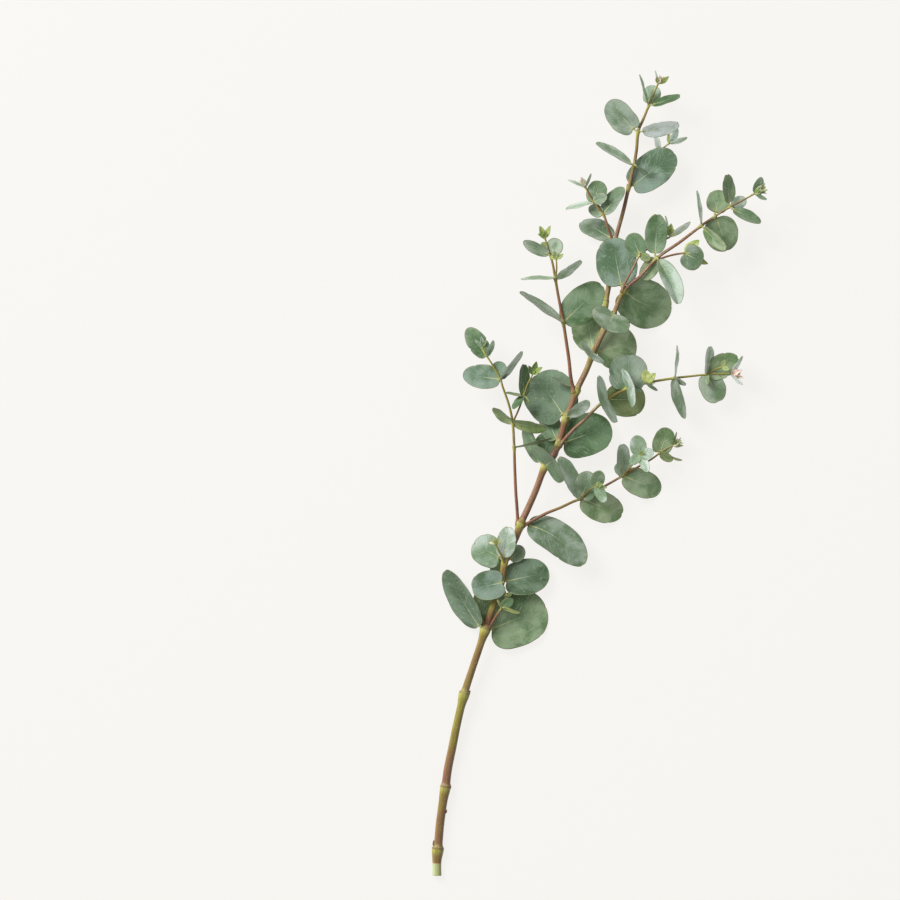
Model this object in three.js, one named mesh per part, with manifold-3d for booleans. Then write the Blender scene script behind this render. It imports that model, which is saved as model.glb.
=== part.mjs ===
// A cut branch of round-leaved eucalyptus, lying on a flat surface.
//
// Units are millimetres, with +Z up. The tables below are measured from the middle of the cut
// end: +Y runs towards the tips, +X to the branch's right as seen from above, and Z is the
// height above the surface. At the end the whole group is moved so that its origin is the
// middle of its bounding box, on the surface.
//
// Leaf joints along the wood are lettered from the cut end: a, b and c are bare, d to g carry
// leaves, and at g the wood forks into a left fork (l0 to l5) and a right fork (r1 to r7).

import * as THREE from "three";
import Module from "manifold-3d";

const wasm = await Module();
wasm.setup();

// Driving dimensions
const BLADE_THICKNESS = 0.7;
const PETIOLE_WIDTH = 1.8;
const PETIOLE_LENGTH = 1.5;
const ROOT_GAP = 0.3;
const ROOT_SUNK_SHARE = 0.4;
const SWELLING_REACH = 1.7;
const SWELLING_SHARE = 0.4;
const THIN_WOOD_RADIUS = 1.15;
const WOOD_SIDES = 8;
const FORK_SIDES = 6;
const SHOOT_SIDES = 5;
const TIP_WIDTH_SHARE = 0.16;
const NOTCH_DEPTH = 0.6;
const LONG_LEAF = 24;
const SHORT_LEAF = 12;
const BUD_STAND_OFF = 1.05;
const SIMPLIFY_TOLERANCE = 0.05;
const STRAIGHT = 1e-6;

// Blade outlines. Power 2 is an ellipse, less is more pointed; skew under 1 puts the widest
// place nearer the base; lobe sweeps the two base corners back past the stem.
const ROUND = { power: 2.15, skew: 0.95, lobe: 0.5 };
const OVAL = { power: 2.0, skew: 0.9, lobe: 0.2 };
const LONG = { power: 1.85, skew: 0.95, lobe: 0 };
const POINTED = { power: 1.5, skew: 0.8, lobe: 0 };

// Wood. Each row: x, y, z of the centre, diameter, then at a joint its swelling and its name.
const MAIN_AXIS = [
  [0, 0, 2.91, 6.3], [0, 10.5, 3.1, 6],
  [0.7, 18.9, 4.2, 6, 1.38, "a"], [2.1, 36.4, 4.4, 6], [4.5, 53.9, 4.9, 6],
  [6, 62.3, 5.1, 6, 1.23, "b"], [7.7, 74.9, 5.6, 5.9], [10.5, 88.9, 6.2, 5.8],
  [14, 106.4, 7.1, 5.6], [19.3, 128.1, 8.3, 5.4, 1.42, "c"], [24.6, 144.9, 9.4, 5],
  [30, 161, 10.6, 5], [34.1, 173.4, 11.4, 5.2, 1.45, "d"], [39.5, 190, 12.4, 4.8],
  [45.2, 207, 13.4, 4.7, 1.1, "e1"], [48, 222, 14.3, 4.6, 1.1, "e2"], [55.2, 237, 15.2, 4.6],
  [59, 248, 16, 4.7, 1.55, "e"], [62.8, 256, 16.5, 4.6], [69, 270, 17.4, 4.5],
  [76, 288, 18.4, 4.5, 1.3, "f"], [81.3, 295, 18.9, 4.4], [85.5, 304, 19.4, 4.4, 1.25, "f2"],
  [87.2, 310, 19.8, 4.3], [90.4, 321.8, 20.3, 4.3, 1.25, "f3"], [93.6, 329, 20.7, 4.2],
  [98, 341, 21.2, 4.2, 1.4, "f4"], [104.7, 355, 21.7, 4.1], [109.4, 367.3, 22, 4, 1.45, "g"],
];
const LEFT_FORK = [
  [109.4, 367.3, 22, 3.9], [113.4, 375, 21.7, 3.8], [117, 386, 21, 3.7],
  [118.4, 403, 19.6, 3.6, 1.2, "l0"], [120.5, 415, 19, 3.6], [123, 430, 18.8, 3.5],
  [125, 446, 19.2, 3, 1.35, "l1"], [130.6, 467, 21, 2.7], [134.4, 483.7, 22, 2.6, 1.4, "l2"],
  [137.9, 498.4, 22.8, 2.3, 1.3, "l2b"], [139.6, 509, 23.4, 2.2],
  [140.8, 522, 24.2, 2.2, 1.35, "l3"], [144.2, 530, 24.7, 1.9],
  [148.4, 540.4, 25.4, 1.8, 1.4, "l4"], [151.2, 547.4, 25.9, 1.4],
  [153.4, 552.6, 26.3, 1.3, 1.2, "l5"],
];
const RIGHT_FORK = [
  [109.4, 367.3, 22, 3.5], [115, 378, 22.8, 3.4], [119, 386, 23.3, 3.3],
  [123.9, 394.8, 23.8, 3.2, 1.3, "r1"], [126.7, 401.8, 24.3, 3.1],
  [131, 410.9, 24.8, 2.8, 1.4, "r2"], [142.1, 420.5, 25.2, 2.2],
  [154, 433.2, 25.7, 2.2, 1.5, "r3"], [170.1, 444.5, 26.5, 2.2],
  [185, 455.8, 27.2, 1.9, 1.6, "r4"], [194.8, 462.6, 27.8, 1.6, 1.4, "r5"],
  [205.1, 469, 28.3, 1.5, 1.5, "r6"], [213.5, 473.2, 28.8, 1.2],
  [220, 477, 29.2, 1.2, 1.2, "r7"],
];

// Small dormant buds on the bare wood: y up the stem, side 1 left or -1 right, length, width
const BUDS = [
  { y: 22.2, side: 1, length: 5.5, width: 2.8 }, { y: 17.2, side: -1, length: 4, width: 2.6 },
  { y: 45.5, side: -1, length: 3.4, width: 2 }, { y: 62.5, side: -1, length: 4.2, width: 2.6 },
  { y: 129, side: -1, length: 5.2, width: 3 }, { y: 126.5, side: 1, length: 3.6, width: 2.4 },
];

// Leaves that grow on the wood, each a piece of its own. Each row:
// name, joint, start, heading, pitch, roll, length, width, outline, arch, fold, sweep.
// Start is where round the wood the leaf begins: 0 on the side it heads for, 90 on top, -90
// underneath, more for the far side. Heading is the midrib's direction seen from above, from
// +X. Pitch raises the tip, roll raises the left half, arch bends the midrib up from base to
// tip, fold raises both halves from the midrib, and sweep turns the midrib sideways. Angles
// are in degrees.
const WOOD_LEAVES = [
  ["leaf_d_left", "d", 30, 125, -4, -50, 46, 27, OVAL, -8, 6, 0],
  ["leaf_d_right", "d", -53, 22, -13, 0, 42, 38.5, ROUND, 6, 4, 0],
  ["leaf_d_under", "d", -64, 88, -12, 24, 30, 18, OVAL, 12, 0, 0],
  ["leaf_e1_left", "e1", 124, 191, 15, 4, 22, 21, ROUND, -12, 6, 0],
  ["leaf_e1_right", "e1", -53, 12, -8, -6, 31, 25, ROUND, 0, 2, 0],
  ["leaf_e2_left", "e2", 0, 151, 8, 0, 21, 22, ROUND, -8, 6, 0],
  ["leaf_e2_top", "e2", 60, 80, 14, 10, 22.5, 14.5, OVAL, -6, 10, 0],
  ["leaf_e2_right", "e2", -53, 40, -14, 0, 13, 12, OVAL, 0, 4, 0],
  ["leaf_e2_under", "e2", -64, 232, -12, 0, 12, 9, OVAL, 0, 0, 0],
  ["leaf_e_right", "e", -30, -15, 0, -27, 49, 26, OVAL, -12, 8, -42],
  ["leaf_f_left", "f", -12, 115, -12, -47, 27, 14, OVAL, 0, 6, 0],
  ["leaf_f_top", "f", 90, 39, 72, 0, 27, 33, ROUND, 4, 8, 0],
  ["leaf_f_under", "f", -64, 80, -28, -14, 24, 20, OVAL, 10, 0, 0],
  ["leaf_f2_right", "f2", -58, 20, -8, -6, 36, 30, ROUND, -4, 2, 0],
  ["leaf_f2_under", "f2", -64, 112, -30, 0, 24, 16, OVAL, 0, 0, 0],
  ["leaf_f3_left", "f3", -64, 123, -20, 0, 38, 37, ROUND, -14, 2, 0],
  ["leaf_f3_top", "f3", 90, 31, 28, 40, 24, 11, LONG, 10, 14, 28],
  ["leaf_f4_left", "f4", -24, 152, -8, 72, 15, 9, OVAL, 0, 8, 0],
  ["leaf_g_top", "g", 90, 228, 76, 0, 22, 23, ROUND, 4, 8, 0],
  ["leaf_g_right", "g", -60, 20, -16, 0, 30, 32, OVAL, -6, 0, 0],
  ["leaf_g_left", "g", -90, 99, -42, 0, 42, 24, OVAL, 10, 0, 0],
  ["leaf_r1_top", "r1", 90, 243, 58, 0, 27, 29, ROUND, 6, 8, 0],
  ["leaf_r2_up", "r2", -17, 101, -3, 6, 34, 30, OVAL, 2, 2, 0],
  ["leaf_r2_right", "r2", -90, -46, -28, 0, 41, 34.5, ROUND, -10, 4, 50],
  ["leaf_r3_up", "r3", 17, 87, 12, 0, 28, 16, OVAL, 0, 8, 0],
  ["leaf_r3_top", "r3", 90, -58, 10, -20, 35, 17, LONG, -8, 34, -14],
  ["leaf_r3_under", "r3", -90, 235, -4, 0, 17, 12, ROUND, 0, 2, 0],
  ["leaf_r4_up", "r4", 90, 99, 12, 74, 24, 12, LONG, 0, 8, 0],
  ["leaf_r4_down", "r4", 53, -47, 24, 52, 23, 13, OVAL, -10, 10, 0],
  ["leaf_r5_down", "r5", -80, -71, -19, 0, 25, 24, OVAL, 6, 0, 0],
  ["leaf_r5_up", "r5", -40, 72, -20, 0, 17, 16, OVAL, 0, 4, 0],
  ["leaf_r6_up", "r6", 17, 93, 12, 46, 20, 13, OVAL, -6, 8, 0],
  ["leaf_r6_right", "r6", 17, -26, 6, -46, 21, 12, OVAL, 0, 10, 0],
  ["leaf_r6_under", "r6", -90, 26, -30, 0, 13, 9, OVAL, 0, 4, 0],
  ["leaf_l1_left", "l1", -37, 146, -29, 30, 29, 18, OVAL, -12, 6, 0],
  ["leaf_l1_right", "l1", -12, -54, -8, 60, 8, 5, OVAL, 0, 8, 0],
  ["leaf_l2_right", "l2", -53, 38, -3, -2, 37, 25, ROUND, -2, 2, 0],
  ["leaf_l2b_left", "l2b", 64, 151, 14, 70, 29, 20, OVAL, 0, 8, 0],
  ["leaf_l2b_right", "l2b", 64, -36, 30, 74, 10, 8, OVAL, 0, 8, 0],
  ["leaf_l3_left", "l3", 0, 134, 2, -34, 26, 22, ROUND, -4, 8, 0],
  ["leaf_l3_right", "l3", 17, 10, 8, 56, 26, 18, OVAL, -4, 10, 0],
  ["leaf_l4_left", "l4", 64, 107, 20, 76, 21, 9, OVAL, 0, 8, 0],
  ["leaf_l4_right", "l4", 53, 17, 16, -50, 21, 9.5, OVAL, 0, 8, 0],
  ["leaf_l4_under", "l4", -90, 74, -24, 0, 14, 12.5, ROUND, 0, 2, 0],
];

// Leafy side shoots, each one piece with its leaves. The wood is rows as above, from the
// joint it grows on. The leaf rows are those above without the name.
const SHOOTS = [
  {
    name: "shoot_d", joint: "d", start: 37, heading: 45,
    wood: [[41.4, 182.5, 14.6, 1.7], [45.5, 188.7, 15, 1.5, 1.4, "da"], [48.5, 196, 14.6, 1.2, 1.2, "db"]],
    leaves: [
      ["da", 12, -16, 10, 74, 13, 9, OVAL, 0, 8, 0], ["da", 24, 122, 24, 70, 7, 5, OVAL, 0, 8, 0],
      ["da", 37, 42, 24, 10, 10.5, 7.5, OVAL, 0, 10, 0], ["db", 0, 42, 6, 40, 5.5, 3.4, POINTED, 0, 12, 0],
      ["db", 0, 100, 2, -40, 5, 3.2, POINTED, 0, 12, 0],
    ],
  },
  {
    name: "shoot_e2", joint: "e2", start: 100, heading: 140,
    wood: [[44.8, 226, 22, 1.4], [42.6, 229.8, 24.5, 1.3], [41, 233.4, 26.5, 1.2, 1.3, "e2a"]],
    leaves: [
      ["e2a", 0, 170, 20, 40, 4.8, 2.6, POINTED, 0, 12, 0],
      ["e2a", 0, 30, 30, 30, 4.8, 2.8, POINTED, 0, 12, 0],
      ["e2a", 0, 112, 40, 0, 6, 2.8, POINTED, 0, 14, 0],
      ["e2a", 0, 75, 45, 30, 5.5, 2.8, POINTED, 0, 14, 0],
    ],
  },
  {
    name: "shoot_e", joint: "e", start: 30, heading: 15,
    wood: [
      [75.6, 254.1, 15.6, 2.1], [86.4, 258.5, 14.8, 2], [94.9, 262.5, 14.2, 1.9],
      [101, 265, 13.8, 1.9, 1.5, "ea"], [111, 270, 13.2, 1.8], [121, 275.5, 12.8, 1.7],
      [130.5, 281, 12.4, 1.7, 1.5, "eb"], [142.5, 288, 12.2, 1.5], [150.5, 292.6, 12.2, 1.4],
      [156.5, 297, 12.4, 1.4, 1.5, "ec"], [162, 300.3, 12.6, 1.2], [165.5, 302.2, 12.8, 1.2, 1.3, "ed"],
    ],
    leaves: [
      ["ea", 24, 117, 12, 58, 33, 22, OVAL, -6, 8, 0], ["ea", -30, 66, 10, 0, 20, 18, ROUND, 0, 6, 0],
      ["ea", -30, -20, -20, 0, 34, 22, OVAL, -8, 6, 0],
      ["eb", -17, 92, 6, 54, 22, 18, ROUND, 0, 8, 0], ["eb", 0, 122, -12, 0, 9, 7, OVAL, 0, 6, 0],
      ["eb", -37, -22, -18, 0, 31, 20, OVAL, -10, 6, 0],
      ["ec", 0, 72, 8, 10, 18, 15, ROUND, -6, 8, 0], ["ec", 24, -30, 4, 40, 10, 8, OVAL, 0, 10, 0],
      ["ec", 30, -18, 22, 78, 17, 9, LONG, 0, 8, 0],
      ["ed", 0, 75, 20, 74, 10, 5, LONG, 0, 8, 0], ["ed", 0, 30, 20, 20, 7.5, 3.4, POINTED, 16, 20, 0],
      ["ed", 0, 5, -10, 30, 7, 3.2, POINTED, 16, 20, 0], ["ed", 0, 55, 48, 0, 6, 3, POINTED, 0, 20, 0],
    ],
    twigs: [
      {
        joint: "ea", wood: [[106, 270, 17, 1.2], [111.5, 274, 20, 1.1, 1.3, "eaa"], [114.5, 275.5, 22, 1]],
        leaves: [
          ["eaa", 37, 74, 26, 0, 12, 10, OVAL, 0, 8, 0], ["eaa", 37, -62, 4, 0, 13, 8, OVAL, 0, 8, 0],
          ["eaa", 0, 20, 50, 0, 7, 4, POINTED, 0, 14, 0], ["eaa", 0, -8, 20, 30, 8, 4, POINTED, 0, 14, 0],
        ],
      },
      {
        joint: "eb", wood: [[136, 287.5, 16, 1.2], [142.5, 295.5, 20, 1.1, 1.4, "eba"]],
        leaves: [
          ["eba", 24, 103, 22, 0, 15, 12, OVAL, 0, 8, 0], ["eba", 24, 222, 14, 0, 10, 7, OVAL, 0, 8, 0],
          ["eba", 17, -68, 10, 0, 13, 7, OVAL, 0, 8, 0], ["eba", 17, 15, 22, 0, 10, 8, OVAL, 0, 8, 0],
          ["eba", 0, 60, 60, 0, 6, 3.4, POINTED, 0, 14, 0],
        ],
      },
    ],
  },
  {
    name: "shoot_f2", joint: "f2", start: 44, heading: 50,
    wood: [
      [90.6, 308, 22, 2.4], [96.6, 314.3, 22.6, 2.3], [103.6, 320.4, 23, 2.3], [113, 330, 23, 2.2],
      [119.5, 334.5, 22.8, 2.2, 1.5, "fa"], [133, 342, 22.2, 2, 1.5, "fb"], [138, 343.5, 21.8, 1.9],
      [147, 346, 21.2, 1.8, 1.3, "fc"], [166.5, 349.3, 20, 1.7, 1.5, "fd"], [178, 350.6, 19.3, 1.5],
      [189.3, 351.8, 18.7, 1.5, 1.5, "fe"], [198, 352, 18.4, 1.3], [206, 352.3, 18.2, 1.2, 1.4, "ff"],
      [212, 352.5, 18.2, 1.1],
    ],
    leaves: [
      ["fa", 90, 200, 74, 0, 28, 35, ROUND, 4, 8, 0], ["fa", -64, 0, -34, 0, 32, 24, ROUND, 0, 6, 0],
      ["fb", -30, 86, -8, 0, 24, 27, ROUND, 0, 6, 0], ["fb", 90, 15, 78, 0, 23, 28, ROUND, 0, 8, 0],
      ["fb", 24, -4, 10, 70, 11, 7, OVAL, 0, 8, 0],
      ["fc", 30, 100, 30, 0, 10, 7, OVAL, 0, 12, 0], ["fc", 30, 48, 40, 0, 11, 6, POINTED, 0, 12, 0],
      ["fc", 0, -34, 10, 66, 9, 6, OVAL, 0, 8, 0],
      ["fd", 17, 87, 12, 80, 23, 15, LONG, 0, 8, 0], ["fd", 0, -76, -6, 66, 29, 18, OVAL, 0, 8, 0],
      ["fd", 53, -28, 30, 60, 10, 7, OVAL, 0, 8, 0],
      ["fe", 24, 86, 10, 62, 20, 15, OVAL, 0, 8, 0], ["fe", -17, -66, -10, 0, 21, 18, ROUND, -4, 6, 0],
      ["fe", -30, 27, -6, 0, 25, 17, OVAL, 0, 6, 0], ["fe", 64, -86, 24, 60, 8, 6, OVAL, 0, 8, 0],
      ["ff", 17, 58, 16, 70, 15, 9, LONG, 0, 8, 0], ["ff", 0, -42, 8, 72, 11, 7, LONG, 0, 8, 0],
      ["ff", 0, 20, 34, 20, 10, 4.4, POINTED, 14, 20, 0], ["ff", 0, -14, -4, 20, 9, 4, POINTED, 14, 20, 0],
    ],
    twigs: [
      {
        joint: "fe", wood: [[194, 355, 21, 1.1], [199.5, 357, 23, 1, 1.3, "fea"]],
        leaves: [
          ["fea", 0, 70, 30, 10, 6.5, 4, POINTED, 0, 14, 0],
          ["fea", 0, -20, 26, -10, 6, 4, POINTED, 0, 14, 0],
        ],
      },
    ],
  },
  {
    name: "shoot_h", joint: "e", start: 17, heading: 150,
    wood: [
      [56, 259, 17.4, 2.3], [55.3, 268, 18.2, 2.2], [54.5, 285, 19.4, 2.1],
      [54, 301, 20.3, 1.9, 1.5, "ha"], [53, 318, 21.2, 1.8, 1.6, "hb"], [50.5, 330, 21.8, 1.6],
      [46, 343, 22.3, 1.5], [44.3, 348.5, 22.5, 1.4, 1.5, "hc"], [38.5, 359, 22.8, 1.3],
      [35, 364.5, 23, 1.2, 1.4, "hd"], [31.5, 371, 23.4, 1, 1.3, "he"],
    ],
    leaves: [
      ["ha", 24, 14, 20, 80, 28, 11, OVAL, 0, 8, 0],
      ["hb", 12, 142, 6, -62, 17, 13, OVAL, 0, 8, 0], ["hb", 64, -12, 22, 56, 25, 14, OVAL, -6, 10, 0],
      ["hc", 0, 172, 2, 18, 26, 18, OVAL, -4, 6, 0], ["hc", 17, 53, 10, 70, 25, 14, OVAL, 0, 8, 0],
      ["hc", -37, 100, -16, 0, 13, 11, ROUND, 0, 4, 0],
      ["hd", -12, 124, 4, 0, 24, 14, OVAL, -6, 8, 0], ["hd", 17, 70, 14, 60, 12, 8, OVAL, 0, 8, 0],
      ["he", 0, 96, 20, 20, 8, 4, POINTED, 8, 20, 0], ["he", 0, 130, 16, -20, 7.5, 3.6, POINTED, 8, 20, 0],
      ["he", 0, 62, 34, 0, 7, 3.4, POINTED, 8, 20, 0],
    ],
    twigs: [
      {
        joint: "hb",
        wood: [
          [57.5, 328, 23.6, 1.3], [60.5, 336.5, 25, 1.2, 1.4, "hba"], [63.5, 345, 26, 1.1],
          [67, 352, 27, 1, 1.2, "hbb"],
        ],
        leaves: [
          ["hba", -24, 88, -8, 50, 23, 13, OVAL, 0, 8, 0], ["hba", 0, 170, 10, 74, 13, 8, OVAL, 0, 8, 0],
          ["hba", 30, 232, 16, 50, 12, 8, OVAL, 0, 8, 0], ["hba", 0, -52, 4, 40, 6, 4, OVAL, 0, 8, 0],
          ["hbb", 0, 74, 20, 20, 10, 5, POINTED, 8, 16, 0],
          ["hbb", 0, 36, 24, -20, 9, 4.4, POINTED, 8, 16, 0],
          ["hbb", 0, 118, 34, 20, 8, 4, POINTED, 8, 16, 0],
        ],
      },
    ],
  },
  {
    name: "shoot_k", joint: "f4", start: 37, heading: 140,
    wood: [
      [93.8, 348.5, 23.8, 2.6], [92.3, 362, 24.8, 2.4], [90.2, 376, 25.6, 2.3],
      [88.2, 388.7, 26.2, 2.2, 1.5, "ka"], [84.7, 407.4, 27, 2], [82.7, 419, 27.5, 1.9, 1.6, "kb"],
      [80.5, 430.5, 27.9, 1.6], [78.6, 436, 28.1, 1.5, 1.5, "kc"], [77, 442.4, 28.4, 1.3],
      [75.4, 447, 28.6, 1.2, 1.4, "kd"],
    ],
    leaves: [
      ["ka", -30, 44, -17, 6, 39, 24, OVAL, 0, 4, 0], ["ka", 30, 146, 10, 74, 37, 23, OVAL, 0, 8, 0],
      ["kb", 17, 35, 8, 66, 22, 14, OVAL, 0, 8, 0], ["kb", 17, 182, 6, 78, 24, 14, OVAL, 0, 8, 0],
      ["kc", 6, 153, 4, -52, 20, 13, OVAL, 0, 8, 0], ["kc", -17, 58, -6, 0, 12, 12, ROUND, 0, 6, 0],
      ["kc", -44, 120, -18, 0, 10, 7, OVAL, 0, 4, 0],
      ["kd", 0, 114, 18, 20, 10, 5, POINTED, 10, 18, 0], ["kd", 0, 66, 20, -20, 10, 4.6, POINTED, 10, 18, 0],
      ["kd", 0, 92, 48, 0, 8, 4, POINTED, 10, 18, 0], ["kd", 0, 150, 20, 40, 6, 3, POINTED, 10, 18, 0],
    ],
    twigs: [
      {
        joint: "kb", wood: [[83.6, 425, 29.6, 1.2], [83.4, 432.5, 31.2, 1.1, 1.3, "kba"]],
        leaves: [
          ["kba", 0, 100, 34, 0, 6.5, 4, POINTED, 0, 16, 0], ["kba", 0, 36, 18, 0, 6, 3.4, POINTED, 0, 16, 0],
          ["kba", 0, 160, 16, 0, 4.5, 3, POINTED, 0, 16, 0],
        ],
      },
    ],
  },
  {
    name: "shoot_r2", joint: "r2", start: 64, heading: 90,
    wood: [
      [132.2, 417, 27.6, 1.6], [136.5, 425, 28.2, 1.5], [142, 435.4, 27.4, 1.5, 1.5, "ra"],
      [148, 439.8, 23.8, 1.3], [157, 444.6, 21.8, 1.2], [163, 448, 21.6, 1.2, 1.3, "rb"],
    ],
    leaves: [
      ["ra", -37, 113, -3, 0, 16, 14, ROUND, 0, 4, 0], ["ra", 0, -24, -4, 0, 7.5, 6, OVAL, 0, 6, 0],
      ["rb", 17, 36, 12, 60, 18, 9, LONG, 0, 10, 0], ["rb", 0, 84, 24, 0, 10, 5, POINTED, 0, 18, 0],
      ["rb", 0, 60, 44, 0, 8, 4, POINTED, 0, 18, 0], ["rb", 12, 104, 30, 76, 17, 7, LONG, 0, 8, 0],
    ],
  },
  {
    name: "shoot_r3", joint: "r3", start: -17, heading: 8,
    wood: [[162, 434.6, 24.8, 1.5], [173.5, 436.7, 24.2, 1.4, 1.4, "rc"], [178, 436, 24, 1.2]],
    leaves: [
      ["rc", 64, -28, 12, 20, 14, 19, ROUND, 0, 8, 0], ["rc", 53, 42, 22, 0, 14, 8, POINTED, 0, 14, 0],
      ["rc", -24, -24, -10, 40, 18, 8, POINTED, 0, 10, 0],
    ],
  },
  {
    name: "shoot_l1", joint: "l1", start: 17, heading: 130,
    wood: [
      [119.9, 454, 22.2, 1.9], [116.2, 464.1, 23.2, 1.7, 1.5, "la"], [109.5, 472.5, 24, 1.5, 1.5, "lb"],
      [103.6, 483, 24.8, 1.3, 1.4, "lc"], [102, 486, 25, 1.1],
    ],
    leaves: [
      ["la", -17, 52, 2, -46, 23, 16, OVAL, 0, 8, 0], ["la", -44, 152, -12, 0, 11, 9, OVAL, 0, 4, 0],
      ["lb", 17, 195, 10, 70, 20, 11, OVAL, 0, 8, 0], ["lb", -24, 74, -4, 0, 15, 14, ROUND, 0, 6, 0],
      ["lb", 53, 24, 24, 0, 11, 8, OVAL, 0, 10, 0],
      ["lc", 12, 158, 10, 66, 13, 6, OVAL, 0, 8, 0], ["lc", 12, 68, 12, 70, 10, 6, OVAL, 0, 8, 0],
      ["lc", 0, 116, 20, 0, 8, 4, POINTED, 10, 20, 0],
    ],
  },
  {
    name: "shoot_l2", joint: "l2", start: -90, heading: 30,
    wood: [
      [140, 490, 15.6, 1.3], [147, 498.5, 14, 1.3], [156, 508.5, 13.6, 1.2, 1.4, "ld"],
      [163, 514, 15.6, 1.1, 1.4, "le"],
    ],
    leaves: [
      ["ld", 17, 106, 12, 50, 12, 7, OVAL, 0, 8, 0],
      ["le", 0, 60, 16, 50, 12, 8, POINTED, 0, 16, 0], ["le", 12, 19, 10, 66, 13, 8, LONG, 0, 8, 0],
      ["le", 0, 98, 34, 20, 8, 4, POINTED, 0, 16, 0],
    ],
  },
];

// Growing tips of the two forks: young leaves round a bud. Rows as for the shoots.
const TIPS = [
  {
    name: "tip_left", joint: "l5",
    wood: [[154.8, 555.4, 26.6, 1.2, 1.3, "lt"], [155.6, 557.5, 26.8, 1]],
    leaves: [
      ["lt", 0, 104, 12, 70, 9, 5, LONG, 0, 8, 0], ["lt", 0, 34, 10, 36, 8.5, 5, POINTED, 0, 14, 0],
      ["lt", 0, 72, 30, 0, 6, 2.8, POINTED, 10, 20, 0], ["lt", 0, 118, 48, 0, 6, 2.6, POINTED, 10, 20, 0],
      ["lt", 0, 55, -16, 0, 6, 2.8, POINTED, 10, 20, 0],
    ],
  },
  {
    name: "tip_right", joint: "r7",
    wood: [[222.4, 478.4, 29.4, 1.2, 1.3, "rt"], [224.6, 479.6, 29.6, 1]],
    leaves: [
      ["rt", 0, 68, 12, 36, 12, 8, OVAL, 0, 8, 0], ["rt", 0, -28, 6, 60, 9, 5.5, LONG, 0, 8, 0],
      ["rt", 0, 48, 26, 0, 8, 3.4, POINTED, 12, 20, 0], ["rt", 0, 16, 10, 0, 8.5, 3.4, POINTED, 12, 20, 0],
      ["rt", 0, 32, 56, 0, 7, 3, POINTED, 12, 20, 0],
    ],
  },
];

const MATERIALS = {
  wood: { color: 0x7d5f3e, roughness: 0.6 },
  leaf: { color: 0x6f8f7c, roughness: 0.62 },
  deepLeaf: { color: 0x56754f, roughness: 0.58 },
  paleLeaf: { color: 0xa4b8a8, roughness: 0.66 },
  shoot: { color: 0x7d946c, roughness: 0.62 },
};
const PALE_LEAVES = ["leaf_e2_top", "leaf_f3_top", "leaf_r3_top", "leaf_r4_up", "leaf_r4_down",
  "leaf_r1_top", "leaf_l3_right", "leaf_l2b_left", "leaf_l4_left"];
const DEEP_LEAVES = ["leaf_d_right", "leaf_d_under", "leaf_e2_right", "leaf_e2_under", "leaf_f_under",
  "leaf_f2_right", "leaf_f2_under", "leaf_g_top", "leaf_g_right", "leaf_g_left", "leaf_r2_right",
  "leaf_r3_under", "leaf_r5_down", "leaf_l1_right", "leaf_l2b_right", "leaf_l4_right"];

const radians = THREE.MathUtils.degToRad;
const UP = new THREE.Vector3(0, 0, 1);

// Closed meshes

function closedGeometry(points, faces) {
  const geometry = new THREE.BufferGeometry();
  const values = points.flatMap((p) => [p.x, p.y, p.z]);
  geometry.setAttribute("position", new THREE.Float32BufferAttribute(values, 3));
  geometry.setIndex(faces.flat());
  return geometry;
}

function toSolid(geometry) {
  return new wasm.Manifold(new wasm.Mesh({
    numProp: 3,
    vertProperties: new Float32Array(geometry.getAttribute("position").array),
    triVerts: new Uint32Array(geometry.getIndex().array),
  }));
}

function toGeometry(solid) {
  const mesh = solid.getMesh();
  const geometry = new THREE.BufferGeometry();
  geometry.setAttribute("position", new THREE.Float32BufferAttribute(mesh.vertProperties, 3));
  geometry.setIndex(Array.from(mesh.triVerts));
  return geometry;
}

// The union of overlapping solids, as one body: a loose scrap too thin to see is dropped
function fused(geometries) {
  const union = wasm.Manifold.union(geometries.map(toSolid)).simplify(SIMPLIFY_TOLERANCE);
  const bodies = union.decompose().sort((a, b) => b.volume() - a.volume());
  return toGeometry(bodies[0]);
}

// Wood

function station(row) {
  const [x, y, z, diameter, swelling = 1, joint = null] = row;
  return { centre: new THREE.Vector3(x, y, z), radius: diameter / 2, swelling, joint };
}

// A joint of thick wood becomes three rings: the wood just before it, the swollen ring, the
// wood just after. On thin wood the swollen ring is enough.
function withSwellings(stations) {
  const rings = [];
  stations.forEach((here, i) => {
    const thick = here.joint && here.radius > THIN_WOOD_RADIUS;
    const before = stations[i - 1];
    const after = stations[i + 1];
    if (thick && before) rings.push(stationTowards(here, before));
    rings.push({ centre: here.centre, radius: here.radius * here.swelling });
    if (thick && after) rings.push(stationTowards(here, after));
  });
  return rings;
}

function stationTowards(here, there) {
  const step = there.centre.clone().sub(here.centre);
  const share = Math.min(SWELLING_REACH / step.length(), SWELLING_SHARE);
  return { centre: here.centre.clone().addScaledVector(step, share), radius: here.radius };
}

function tangentAt(rings, i) {
  const before = rings[Math.max(i - 1, 0)].centre;
  const after = rings[Math.min(i + 1, rings.length - 1)].centre;
  return after.clone().sub(before).normalize();
}

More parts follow.
